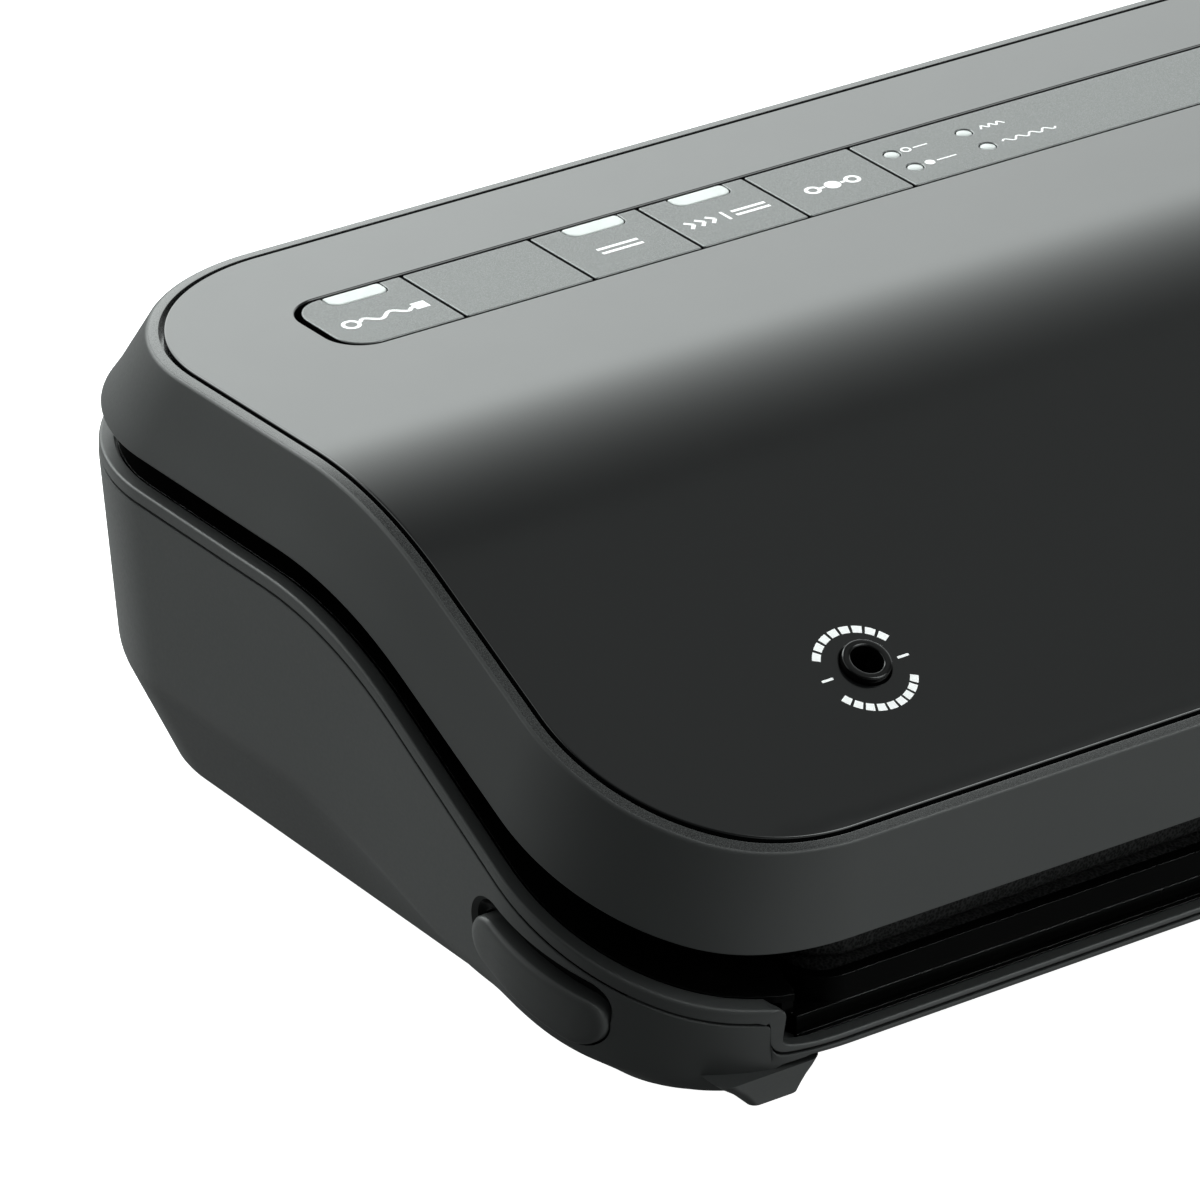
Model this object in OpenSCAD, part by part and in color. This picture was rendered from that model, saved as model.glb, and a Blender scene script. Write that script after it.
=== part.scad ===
// Countertop vacuum sealer: sloped hinged lid over a low base, key strip on the
// lid, accessory port, side release buttons, drip tray, pump and heat-seal bar.
// Frame: origin at the centre of the footprint, on the surface the feet rest on.
// +X runs along the length (to the user's right), -Y is the front, +Z is up.

/* [Overall] */
// Length of the lid along X
lid_w = 400; // [396:1:404]
// Depth of the lid along Y
lid_d = 192.3; // [191:0.1:193]
// Height of the lid's lower edge at the rear
lid_edge_rear = 68.9; // [68.6:0.1:69.4]
// Height of the lid's lower edge at the front
lid_edge_front = 28.1; // [27.8:0.1:28.6]
// Slope of the lid's front half
lid_slope = 26.3; // [25.8:0.1:26.8]

/* [Lid shell] */
// Wall of the moulded lid skirt
lid_wall = 2.6; // [2.2:0.1:3]
// Skirt height at the rear
skirt_rear = 15.6; // [15:0.1:16]
// Skirt height at the front
skirt_front = 17.2; // [16.8:0.1:17.6]
// Width of the fine-textured rim strip round the glossy panel
rim_w = 2.3; // [2:0.1:3]
// Thickness of the glossy panel
panel_t = 2.2; // [1.8:0.1:2.6]

/* [Base shell] */
// Height of the base parting groove at the rear
groove_rear = 60.5; // [60.2:0.1:60.8]
// Height of the base parting groove at the front
groove_front = 13.6; // [13.4:0.1:13.9]
// Height of the upper rim moulding above the groove
rim_h = 2.6; // [2.4:0.1:2.8]
// Wall of the moulded base tub
tub_wall = 3; // [2.6:0.1:3.2]
// Inward lean of the base walls, in degrees
draft = 3.5; // [3:0.1:4]

/* [Control strip] */
// Y of the centre of the key strip
strip_y = 50.1; // [49.5:0.1:50.5]
// Depth of the key strip
strip_d = 21.6; // [21:0.1:22]
// X of the strip's outer end
strip_x = 165.2; // [164:0.1:166]
// Height of the key tops
key_top = 84.95; // [84.8:0.05:85.1]
// Key travel
key_travel = 0.8; // [0.5:0.1:0.9]

/* [Accessory port] */
// X of the port
port_x = -132.2; // [-134:0.1:-130]
// Y of the port
port_y = -65.6; // [-67:0.1:-64]
// Outer radius of the port nozzle
port_ro = 4.4; // [4.2:0.1:4.6]
// Bore radius of the port nozzle
port_ri = 2.9; // [2.6:0.1:3.1]

/* [Release buttons] */
// Inward travel of a side release button
release_travel = 2.5; // [2:0.1:2.8]
// Radius of the rounded button face
release_r = 4.7; // [4.4:0.1:4.8]

/* [Hinge] */
// Y of the lid's pivot
hinge_y = 84; // [83.5:0.1:84.5]
// Height of the lid's pivot
hinge_z = 59.5; // [59.2:0.1:59.8]
// Radius of a hinge pin
hinge_r = 2; // [1.8:0.1:2.2]

/* [Hidden] */

// colours
c_satin = [0.25, 0.25, 0.25];
c_gloss = [0.06, 0.06, 0.065];
c_black = [0.05, 0.05, 0.05];
c_key = [0.42, 0.42, 0.42];
c_steel = [0.7, 0.7, 0.72];
c_board = [0.1, 0.35, 0.2];

yf = -lid_d / 2;
yr = lid_d / 2;
// side inset, front inset and rear inset of the skirt from its lower edge to its top
fl_s = 4.9; fl_f = 1.0; fl_r = 10.9;
// plan corner radii of the lid: front across X, front along Y, rear
cfx = 42.9; cfy = 39.9; crr = 43.7;
// base plan
bxh = lid_w / 2 + 0.7; byf = -95.2; byr = 96.15; bfx = 43.8; bfy = 39.2; brr = 43.7;

// side profile: flat rear, convex bend, straight slope, concave bend, flat front
function scurve(y, zr, zf, ym, al, r1, r2) =
  let (ta = tan(al), zm = (zr + zf) / 2, y1 = ym + (zr - zm) / ta, y2 = ym - (zm - zf) / ta,
       c1 = y1 + r1 * tan(al / 2), c2 = y2 - r2 * tan(al / 2))
  y >= c1 ? zr
  : y >= c1 - r1 * sin(al) ? zr - r1 + sqrt(max(0, r1 * r1 - (y - c1) * (y - c1)))
  : y >= c2 + r2 * sin(al) ? zm + (y - ym) * ta
  : y >= c2 ? zf + r2 - sqrt(max(0, r2 * r2 - (y - c2) * (y - c2))) : zf;
function zl(y) = scurve(y, lid_edge_rear, lid_edge_front, -51.4, lid_slope, 82.7, 19.4);
function zb(y) = scurve(y, groove_rear, groove_front, -50.6, 28.5, 80.6, 33);
function fr(y) = min(1, max(0, (y - yf) / (yr - yf)));
// height of the skirt's top edge, and of the panel surface
function zt(y) = zl(y) + skirt_front + (skirt_rear - skirt_front) * fr(y);
function zp(y) = zt(y) + 0.3;
function mix(a, b, t) = a + (b - a) * t;
function smooth(t) = let (u = min(1, max(0, t))) u * u * (3 - 2 * u);

// left half of a plan outline, rear centre to front centre; pairs [x, y].
// na: steps in a corner, ns: steps along the side
function half(xh, f, r, rx, ry, rr, na, ns) = concat(
  [for (i = [1 : 2]) [-(xh - rr) * i / 2 * 0.999, r]],
  [for (i = [0 : na]) let (t = 90 * i / na) [-(xh - rr) - rr * sin(t), r - rr + rr * cos(t)]],
  [for (i = [1 : ns - 1]) [-xh, mix(r - rr, f + ry, i / ns)]],
  [for (i = [0 : na]) let (t = 90 * i / na) [-(xh - rx) - rx * cos(t), f + ry - ry * sin(t)]],
  [for (i = [1 : 2]) [-(xh - rx) * (1 - i / 3), f]]);
function rev(a) = [for (i = [len(a) - 1 : -1 : 0]) a[i]];
function whole(h) = concat(h, [for (p = rev(h)) [-p[0], p[1]]]);
// lid plan at flare a (0 lower edge, 1 top edge) and extra inset e
function lidh(a, e, na = 12, ns = 26) = half(lid_w / 2 - a * fl_s - e, yf + a * fl_f + e, yr - a * fl_r - e,
  mix(cfx, 41.2, a) - e, mix(cfy, 38.5, a) - e, mix(crr, 38.8, a) - e, na, ns);
function lidp(a, e, na = 12, ns = 26) = whole(lidh(a, e, na, ns));
// base plan at inset e
function basep(e, na = 12, ns = 26) = whole(half(bxh - e, byf + e, byr - e, bfx - e, bfy - e, brr - e, na, ns));

// closed solid from a stack of rings with the same number of points; ends capped
module stack(rings) {
  n = len(rings[0]); m = len(rings);
  polyhedron(points = [for (r = rings) for (p = r) p], faces = concat(
    [[for (i = [0 : n - 1]) i]],
    [for (j = [0 : m - 2]) for (i = [0 : n - 1]) let (a = j * n + i, b = j * n + (i + 1) % n) each [[a, a + n, b], [b, a + n, b + n]]],
    [[for (i = [n - 1 : -1 : 0]) (m - 1) * n + i]]), convexity = 10);
}
// closed frame from rings that return to the first one
module frame_loft(rings) {
  n = len(rings[0]); m = len(rings);
  polyhedron(points = [for (r = rings) for (p = r) p], faces =
    [for (j = [0 : m - 1]) for (i = [0 : n - 1]) let (a = j * n + i, b = j * n + (i + 1) % n, c = ((j + 1) % m) * n + i, d = ((j + 1) % m) * n + (i + 1) % n) each [[a, c, b], [b, c, d]]], convexity = 10);
}
module rrect(w, d, h, r) {
  linear_extrude(h) union() {
    square([w - 2 * r, d], center = true);
    square([w, d - 2 * r], center = true);
    for (x = [-1, 1]) for (y = [-1, 1]) translate([x * (w / 2 - r), y * (d / 2 - r)]) circle(r = r, $fn = 48);
  }
}
// prism along X from a (y, z) outline
module along_x(pts, x0, x1) translate([x0, 0, 0]) rotate([90, 0, 90]) linear_extrude(x1 - x0) polygon(pts);

// ---------------------------------------------------------------- lid
module lid_shell() color(c_satin) {
  P1 = lidp(1, 0); P2 = lidp(1, rim_w); P3 = lidp(1, rim_w + 3); P0 = lidp(0, 0); Pi = lidp(0, lid_wall);
  Pa = lidp(1, 0.35); Pm = lidp(0, 0.4);
  frame_loft([
    [for (p = P0) [p[0], p[1], zl(p[1]) + 0.5]],
    [for (p = P1) [p[0], p[1], zt(p[1]) - 0.4]],
    [for (p = Pa) [p[0], p[1], zt(p[1])]],
    [for (p = P2) [p[0], p[1], zt(p[1]) + 0.1]],
    [for (p = P2) [p[0], p[1], zt(p[1]) - panel_t]],
    [for (p = P3) [p[0], p[1], zt(p[1]) - panel_t]],
    [for (p = P3) [p[0], p[1], zt(p[1]) - panel_t - 2]],
    [for (p = lidp(0.92, 2.4)) [p[0], p[1], zt(p[1]) - panel_t - 2.4]],
    [for (p = Pi) [p[0], p[1], zl(p[1])]],
    [for (p = Pm) [p[0], p[1], zl(p[1])]]]);
}
// solid whose top follows the panel surface at height offset o, t thick, cut to a lid outline at inset e
function sline(o) = [for (y = [yf : (yr - yf) / 60 : yr + 0.01]) [y, zp(y) + o]];
module skin(o, t) along_x(concat(sline(o), rev(sline(o - t))), -lid_w / 2, lid_w / 2);
module strip_plan(e = 0) {
  w = 2 * strip_x + 2 * e; d = strip_d + 2 * e; r = 7 + e;
  union() {
    square([w - 2 * r, d], center = true);
    square([w, d - 2 * r], center = true);
    for (x = [-1, 1]) for (y = [-1, 1]) translate([x * (w / 2 - r), y * (d / 2 - r)]) circle(r = r, $fn = 48);
  }
}
module lid_panel() color(c_gloss) difference() {
  intersection() {
    skin(0, panel_t + 0.25);
    linear_extrude(100) polygon(lidp(1, rim_w + 0.2, 16, 4));
  }
  translate([0, strip_y, 60]) linear_extrude(40) strip_plan(0.35);
  translate([port_x, port_y, zp(port_y)]) rotate([lid_slope, 0, 0]) cylinder(r = port_ro + 0.15, h = 20, center = true, $fn = 64);
}
// liner: closes the lid from below and carries the gasket and the pressure strip
function lline(o, y0, y1) = [for (i = [0 : 30]) let (y = mix(y0, y1, i / 30)) [y, zl(y) + o]];
module lid_liner() color(c_black) difference() {
  union() {
    // plate that follows the side profile
    difference() {
      intersection() {
        along_x(concat(lline(4.5, -86, 80), rev(lline(6.5, -86, 80))), -192, 192);
        linear_extrude(100) polygon(lidp(0, 7, 12, 4));
      }
      translate([-162.4, -85, 20]) cube([324.8, 44, 60]);
    }
    // plug over the sealing deck: floor, front wall, rear wall and ends
    difference() {
      along_x(concat([[-86.6, 22.4]], [[-39.9, 22.4]], rev(lline(6.5, -86.6, -39.9))), -163.4, 163.4);
      along_x([[-84.4, 24.6], [-42.1, 24.6], [-42.1, 90], [-84.4, 90]], -161.2, 161.2);
    }
    // spigot for the port hose
    translate([port_x, -55, 24.4]) cylinder(r = 3.5, h = 7.6, $fn = 48);
    // bosses for the screws
    for (x = [-150, 0, 150]) translate([x, 24, 75]) cylinder(r = 4, h = 7.2, $fn = 48);
  }
  translate([port_x, -55, 20]) cylinder(r = 2, h = 14, $fn = 48);
  for (x = [-150, 0, 150]) translate([x, 24, 70]) cylinder(r = 1.6, h = 20, $fn = 32);
}
module lid_screws() color(c_steel) for (x = [-150, 0, 150]) translate([x, 24, 0]) {
  translate([0, 0, 71.8]) cylinder(r = 3, h = 1.6, $fn = 40);
  translate([0, 0, 73.2]) cylinder(r = 1.5, h = 8.4, $fn = 40);
}
module hinge_arms() color(c_black) for (x = [-120, 120]) translate([x - 7, 0, 0]) difference() {
  rotate([90, 0, 90]) linear_extrude(14) union() {
    translate([hinge_y, hinge_z]) circle(r = 4.2, $fn = 64);
    polygon([[hinge_y - 4.2, hinge_z], [hinge_y + 1.5, hinge_z + 3.5], [hinge_y - 2.5, 68], [78, 73.4], [66, 73.4], [hinge_y - 4.2, 66]]);
  }
  translate([-1, hinge_y, hinge_z]) rotate([0, 90, 0]) cylinder(r = hinge_r + 0.05, h = 16, $fn = 64);
}
module latch_posts() color(c_black) for (s = [-1, 1]) {
  // blade that drops into the side slot above the release slide's pawl
  along_x([[-66, 30.8], [-58, 30.8], [-58, zl(-58) + 4.5], [-62, zl(-62) + 4.5], [-66, zl(-66) + 4.5]], s * 179 - 1.6, s * 179 + 1.6);
  along_x([[-65, 30.8], [-59, 30.8], [-59, 32.6], [-65, 33.4]], s * 181.9 - 1.3, s * 181.9 + 1.3);
}
module loop_plan(x, y0, y1, w, r) difference() {
  union() {
    translate([-x + r, y0]) square([2 * x - 2 * r, y1 - y0]);
    translate([-x, y0 + r]) square([2 * x, y1 - y0 - 2 * r]);
    for (i = [-1, 1]) for (y = [y0 + r, y1 - r]) translate([i * (x - r), y]) circle(r = r, $fn = 48);
  }
  translate([-x + w, y0 + w]) union() {
    ri = max(1, r - w);
    translate([ri, 0]) square([2 * (x - w) - 2 * ri, y1 - y0 - 2 * w]);
    translate([0, ri]) square([2 * (x - w), y1 - y0 - 2 * w - 2 * ri]);
    for (i = [ri, 2 * (x - w) - ri]) for (y = [ri, y1 - y0 - 2 * w - ri]) translate([i, y]) circle(r = ri, $fn = 48);
  }
}
gx = 159.1; gy0 = -87.7; gy1 = -40.4; gw = 6.4; gr = 10;
module upper_gasket() color([0.13, 0.13, 0.13]) translate([0, 0, 18.2]) linear_extrude(4.2) loop_plan(gx, gy0 + 1.2, gy1, gw, gr);
module pressure_strip() color([0.3, 0.06, 0.05]) translate([-150, -79, 18.4]) cube([300, 7, 4]);
// nozzle axis leans with the slope
module port_frame() translate([port_x, port_y, zp(port_y)]) rotate([lid_slope, 0, 0]) children();
module accessory_port() color(c_gloss) port_frame() difference() {
  union() {
    translate([0, 0, -9]) cylinder(r = port_ro, h = 10.4, $fn = 96);
    translate([0, 0, -5]) cylinder(r = 7.5, h = 2, $fn = 96);
    translate([0, 0, -15]) cylinder(r = 3.6, h = 7, $fn = 64);
  }
  translate([0, 0, -8]) cylinder(r = port_ri, h = 12, $fn = 96);
  translate([0, 0, -16]) cylinder(r = 2, h = 20, $fn = 64);
}
module port_hose() color([0.55, 0.55, 0.55]) difference() {
  union() {
    port_frame() translate([0, 0, -24]) cylinder(r = 4.6, h = 14.8, $fn = 48);
    translate([port_x, port_y + 24 * sin(lid_slope), zp(port_y) - 24 * cos(lid_slope)]) sphere(r = 4.6, $fn = 48);
    translate([port_x, -55, 26]) cylinder(r = 4.6, h = zp(port_y) - 24 * cos(lid_slope) - 26, $fn = 48);
  }
  port_frame() translate([0, 0, -24]) cylinder(r = 3.6, h = 20, $fn = 48);
  translate([port_x, -55, 20]) cylinder(r = 3.5, h = zp(port_y) - 24 * cos(lid_slope) - 20, $fn = 48);
}
module control_board() color(c_board) difference() {
  translate([-168, strip_y - 12, 76.4]) cube([160, 24, 1.6]);
  for (x = [-164, -12]) translate([x, strip_y, 70]) cylinder(r = 1.6, h = 20, $fn = 32);
}
module key_switches() color(c_black) for (x = [-153, -101, -78, -55]) translate([x - 3, strip_y - 3, 78]) {
  cube([6, 6, 2.6]);
  translate([3, 3, 2.6]) cylinder(r = 1.6, h = 0.8, $fn = 32);
}
// a key: plate with a wall thick enough to reach near its switch
module key_plate(x0, x1) intersection() {
  translate([x0, strip_y - strip_d / 2, key_top - 2.4]) cube([x1 - x0, strip_d, 2.4]);
  translate([0, strip_y, 60]) linear_extrude(40) strip_plan(0);
}
module win_plan(x, w) translate([x, strip_y + strip_d / 2 - 3.3]) union() {
  translate([0, 1.2]) square([w, 2.1 + 0.01]);
  translate([1.4, 0]) square([w - 2.8, 3.3]);
  for (i = [1.4, w - 1.4]) translate([i, 1.4]) circle(r = 1.4, $fn = 32);
}
module key(x0, x1, wx = 0) color(c_key) difference() {
  union() {
    key_plate(x0 + 0.15, x1 - 0.15);
    translate([(x0 < -160 ? -153 : (x0 + x1) / 2), strip_y, 82.3]) cylinder(r = 2.2, h = 1, $fn = 32);
  }
  if (wx != 0) translate([0, 0, key_top - 1.4]) linear_extrude(4) win_plan(wx, 11.9);
}
module window(wx) color("white") translate([0, 0, key_top - 1.4]) linear_extrude(1.4) intersection() {
  win_plan(wx, 11.9);
  translate([0, strip_y]) strip_plan(0);
}
module accessory_key() key(-strip_x - 1, -140.2, -156.9);
module seal_key() key(-112.9, -89.5, -106);
module vac_seal_key() key(-89.5, -66.1, -82.9);
module mode_key() key(-66.1, -42.6);
module accessory_window() window(-156.9);
module seal_window() window(-106);
module vac_seal_window() window(-82.9);
module key_blank() color(c_key) translate([0, 0, 0]) union() {
  key_plate(-140.05, -113.05);
  translate([-130, strip_y - 8, 78]) cube([8, 16, key_top - 2.4 - 78 + 0.2]);
}
led_at = [[-37.7, 53.7], [-37.6, 46.8], [-21.1, 54.0], [-21.2, 46.7]];
module indicator_strip() color(c_key) difference() {
  union() {
    key_plate(-42.45, strip_x + 1);
    translate([20, strip_y - 8, 76.4]) cube([8, 16, 7]);
    translate([120, strip_y - 8, 76.4]) cube([8, 16, 7]);
  }
  for (p = led_at) translate([p[0], p[1], 70]) cylinder(r = 1.5, h = 20, $fn = 48);
}
module mode_leds() color("white") for (p = led_at) translate([p[0], p[1], 78]) cylinder(r = 1.5, h = key_top + 0.05 - 78, $fn = 48);

// ---------------------------------------------------------------- base
// where the front cut-out in the rim begins, for the outline at inset e
function tn(xn, e) = acos(min(1, (xn - (bxh - bfx)) / (bfx - e)));
// base half outline that carries a cut-out step at x = xn; triples [x, y, low]
function bhalf(e, xn, na = 12, ns = 26, dd = 0.7) =
  let (xh = bxh - e, f = byf + e, r = byr - e, rx = bfx - e, ry = bfy - e, rr = brr - e, t0 = tn(xn, e), t1 = tn(xn - dd, e)) concat(
  [for (i = [1 : 2]) [-(xh - rr) * i / 2 * 0.999, r, 0]],
  [for (i = [0 : na]) let (t = 90 * i / na) [-(xh - rr) - rr * sin(t), r - rr + rr * cos(t), 0]],
  [for (i = [1 : ns - 1]) [-xh, mix(r - rr, f + ry, i / ns), 0]],
  [for (i = [0 : na]) let (t = t0 * i / na) [-(xh - rx) - rx * cos(t), f + ry - ry * sin(t), 0]],
  [for (i = [0 : 3]) let (t = mix(t1, 90, i / 3)) [-(xh - rx) - rx * cos(t), f + ry - ry * sin(t), 1]],
  [for (i = [1 : 2]) [-(xh - rx) * (1 - i / 3), f, 1]]);
function bring(e, xn) = let (h = bhalf(e, xn)) concat(h, [for (p = rev(h)) [-p[0], p[1], p[2]]]);
// height of the wall's lower break line, along the side and round the corner
function zbt(x, y) = y >= 8 ? 24.4 : y >= -50 ? mix(24.4, 13.5, smooth((8 - y) / 58)) : y >= -82 ? mix(13.5, 7.2, smooth((-50 - y) / 30)) : 7.2;
lipz = 8.9;
// tub: outer wall leans in below the groove, chamfer below the break line, flat floor
function lean(y, z) = max(0, (zb(y) - z)) * tan(draft);
module tub_body() {
  Pg = bring(0, 171.4);
  // outer break ring: the outline at inset 0 moved in by the lean
  Pb = [for (p = Pg) let (z = p[2] == 1 ? 8.3 : zbt(p[0], p[1]), d = p[2] == 1 ? 0.3 : lean(p[1], z), s = (bxh - d) / bxh, u = (byr - d) / byr) [p[0] * s, p[1] * u, z]];
  // bottom ring
  hb = half(188.3, -93.4, 83.8, 22, 22, 31.3, 12, 26);
  hbb = concat([for (i = [0 : 1]) hb[i]], [for (i = [0 : 12]) hb[2 + i]], [for (i = [0 : 24]) hb[15 + i]],
    [for (i = [0 : 12]) let (t = 78 * i / 12) [-(188.3 - 22) - 22 * cos(t), -93.4 + 22 - 22 * sin(t)]],
    [for (i = [0 : 3]) [mix(-163, -150, i / 3), -93.4]], [[-104, -93.4], [-52, -93.4]]);
  Pz = [for (i = [0 : len(hbb) - 1]) [hbb[i][0], hbb[i][1], i > 52 ? 7.4 : 3]];
  Pc = [for (i = [0 : len(hbb) - 1]) [hbb[i][0] * 0.93, mix(hbb[i][1], -4.8, 0.17), 3]];
  mir = function (a) concat(a, [for (p = rev(a)) [-p[0], p[1], p[2]]]);
  w = tub_wall;
  Pi = bring(w, 171.4 - w);
  Pj = [for (p = Pi) let (z = p[2] == 1 ? 8.3 : zbt(p[0], p[1]) + 1, d = p[2] == 1 ? 0.3 : lean(p[1], z), s = (bxh - d) / bxh, u = (byr - d) / byr) [p[0] * s, p[1] * u, z]];
  Pk = [for (p = Pz) [p[0] * 0.982, p[1] * 0.975 , p[2] == 3 ? 5.6 : 7.9]];
  Pl = [for (p = Pc) [p[0], p[1], 5.6]];
  stack([mir(Pc), mir(Pz), Pb,
    [for (p = Pg) [p[0], p[1], p[2] == 1 ? lipz - 0.15 : zb(p[1]) - 0.15]],
    [for (p = Pi) [p[0], p[1], p[2] == 1 ? lipz - 0.15 : zb(p[1]) - 0.15]],
    Pj, mir(Pk), mir(Pl)]);
}
module stadium(r, up = 0) union() {
  for (p = [[-53.5, 21.9], [-72.7, 14.9]]) translate([p[0], p[1] + up]) circle(r = r, $fn = 64);
  polygon([for (k = [[-53.5, 21.9, 1], [-72.7, 14.9, 1], [-72.7, 14.9, -1], [-53.5, 21.9, -1]]) [k[0] - 0.343 * r * k[2], k[1] + up + 0.939 * r * k[2]]]);
}
module leg() stack([
  [[-172.7, -91.4, 0], [-164.8, -91.4, 0], [-164.8, -84, 0], [-172.7, -84, 0]],
  [[-176.4, -93.3, 5.1], [-162.2, -93.3, 5.1], [-162.2, -81, 5.1], [-176.4, -81, 5.1]]]);
module base_tub() color(c_satin) difference() {
  union() {
    tub_body();
    leg();
    mirror([1, 0, 0]) leg();
  }
  for (s = [-1, 1]) {
    translate([s < 0 ? -205 : 185, 0, 0]) rotate([90, 0, 90]) linear_extrude(20) stadium(release_r + 0.4);
    translate([s < 0 ? -205 : 185, 0, 0]) rotate([90, 0, 90]) linear_extrude(20) stadium(release_r - 0.6, 2.6);
  }
  translate([119, 80, 26]) cube([22, 20, 12]);
}

module base_rim() color(c_satin) {
  A = bring(0.15, 171.2); B = bring(0.15, 168.9); C = bring(0.6, 168.6); D = bring(2.9, 166.6);
  frame_loft([
    [for (p = A) [p[0], p[1], p[2] == 1 ? lipz + 0.15 : zb(p[1]) + 0.15]],
    [for (p = B) [p[0], p[1], p[2] == 1 ? lipz + 0.8 : zb(p[1]) + rim_h - 0.4]],
    [for (p = C) [p[0], p[1], p[2] == 1 ? lipz + 1.1 : zb(p[1]) + rim_h]],
    [for (p = D) [p[0], p[1], p[2] == 1 ? lipz + 1.1 : zb(p[1]) + rim_h]],
    [for (p = D) [p[0], p[1], p[2] == 1 ? lipz + 0.3 : zb(p[1]) + 0.8]],
    [for (p = bring(5.6, 165.4)) [p[0], p[1], p[2] == 1 ? lipz + 0.3 : zb(p[1]) + 0.8]],
    [for (p = bring(5.6, 165.4)) [p[0], p[1], p[2] == 1 ? lipz + 0.1 : zb(p[1]) + 0.15]]]);
}

function bline(o, y0, y1) = [for (i = [0 : 40]) let (y = mix(y0, y1, i / 40)) [y, zb(y) + o]];
// black inner deck: cheeks and rear plate on the rim's ledge, sunk sealing pocket, tray well
module base_deck() color(c_black) difference() {
  union() {
    difference() {
      intersection() {
        along_x(concat(bline(1.1, -91.9, 93), rev(bline(2.4, -91.9, 93))), -197.3, 197.3);
        linear_extrude(100) polygon(basep(3.3, 12, 4));
      }
      translate([-165, -95, 0]) cube([330, 57, 60]);
      // slots for the latch blades and the hinge arms
      for (s = [-1, 1]) translate([s * 180.5 - 5.5, -67.5, 10]) cube([11, 11, 40]);
      for (s = [-1, 1]) translate([s * 120 - 12.6, 76, 50]) cube([25.2, 20, 20]);
    }
    // lip, gasket floor, tray well and back wall
    along_x([[-92, 9.3], [-92, 9.95], [-90.9, 9.95], [-90.9, 13.4], [-69.2, 13.4], [-69.2, 7.8],
      [-48, 7.8], [-48, 13.4], [-38, 13.4], [-38, 45.4], [-36.2, 46.4], [-36.2, 11.6], [-46.2, 11.6],
      [-46.2, 6.2], [-71, 6.2], [-71, 11.6], [-88.2, 11.6], [-88.2, 9.3]], -164.4, 164.4);
    // rail that frames the gasket
    translate([0, 0, 12.4]) linear_extrude(5.8) loop_plan(162.1, -90.8, -36.8, 2.6, 8);
    // ends of the pocket
    for (s = [-1, 1]) along_x(concat([[-89.4, 11.6]], [[-36.8, 11.6]], rev(bline(1.7, -89.4, -36.8))), s < 0 ? -166.4 : 164, s < 0 ? -164 : 166.4);
    for (s = [-1, 1]) translate([s < 0 ? -165 : 142.2, -70.5, 6.8]) cube([22.8, 23.8, 6.1]);
  }
  // suction passage from the pocket floor to the rear of the well
  translate([-146.5, -58.5, 9]) cylinder(r = 1.6, h = 8, $fn = 40);
  translate([-146.5, -59.5, 9]) rotate([-90, 0, 0]) cylinder(r = 1.4, h = 16, $fn = 40);
}
module lower_gasket() color([0.14, 0.14, 0.14]) translate([0, 0, 13.4]) linear_extrude(4.5) loop_plan(gx, gy0, gy1, gw, gr);
module heater_bar() color([0.35, 0.2, 0.1]) translate([-150, -79.7, 13.4]) cube([300, 8, 2.8]);
module heating_element() color(c_steel) union() {
  translate([-149, -77.2, 16.2]) cube([298, 3, 0.3]);
}
module ptfe_tape() color([0.55, 0.45, 0.3]) translate([-150, -79.7, 16.5]) cube([300, 8, 0.25]);
module drip_tray() color([0.2, 0.2, 0.2]) difference() {
  translate([-141.4, -68.6, 8.1]) cube([282.8, 20, 7.9]);
  translate([-139.8, -67, 9.7]) cube([279.6, 16.8, 10]);
}
module rubber_feet() color([0.08, 0.08, 0.08]) for (x = [-1, 1]) {
  translate([x * 174.5, -75, 0]) cylinder(r = 7.8, h = 3, $fn = 64);
  translate([x * 165, 52, 0]) cylinder(r = 7.8, h = 3, $fn = 64);
}
module tub_screws() color(c_steel) for (x = [-1, 1]) {
  translate([x * 150, 60, 1.6]) cylinder(r = 3.5, h = 1.4, $fn = 40);
  translate([x * 150, -30, 1.6]) cylinder(r = 3.5, h = 1.4, $fn = 40);
}
module hinge_brackets() color(c_black) for (x = [-120, 120]) for (s = [-1, 1]) translate([x + s * 9.8 - 2.3, 0, 0]) difference() {
  rotate([90, 0, 90]) linear_extrude(4.6) union() {
    translate([hinge_y, hinge_z]) circle(r = 4.2, $fn = 64);
    polygon([[hinge_y - 4.2, hinge_z], [hinge_y + 4.2, hinge_z], [hinge_y + 4.2, 40], [hinge_y - 10, 40]]);
  }
  translate([-1, hinge_y, hinge_z]) rotate([0, 90, 0]) cylinder(r = hinge_r, h = 8, $fn = 64);
}
module hinge_pins() color(c_steel) for (x = [-120, 120]) translate([x - 12.1, hinge_y, hinge_z]) rotate([0, 90, 0]) cylinder(r = hinge_r, h = 24.2, $fn = 64);
// two-pin inlet in the rear wall, where a mains lead plugs in
module mains_inlet() color(c_black) translate([130, 0, 32]) difference() {
  union() {
    translate([-10.8, 82, -5.8]) cube([21.6, 13.5, 11.6]);
    translate([-13, 95.0, -8]) cube([26, 1.1, 16]);
  }
  difference() {
    rotate([-90, 0, 0]) translate([0, 0, 84]) linear_extrude(14) union() {
      for (x = [-4.2, 4.2]) translate([x, 0]) circle(r = 4, $fn = 64);
      translate([-4.2, -2.6]) square([8.4, 5.2]);
    }
    for (x = [-4.2, 4.2]) translate([x, 80, 0]) rotate([-90, 0, 0]) cylinder(r = 1.2, h = 13, $fn = 40);
  }
}
module power_board() color(c_board) translate([112, -20, 9]) difference() {
  cube([62, 84, 1.6]);
  for (x = [4, 58]) for (y = [4, 80]) translate([x, y, -1]) cylinder(r = 1.6, h = 4, $fn = 32);
}
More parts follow.
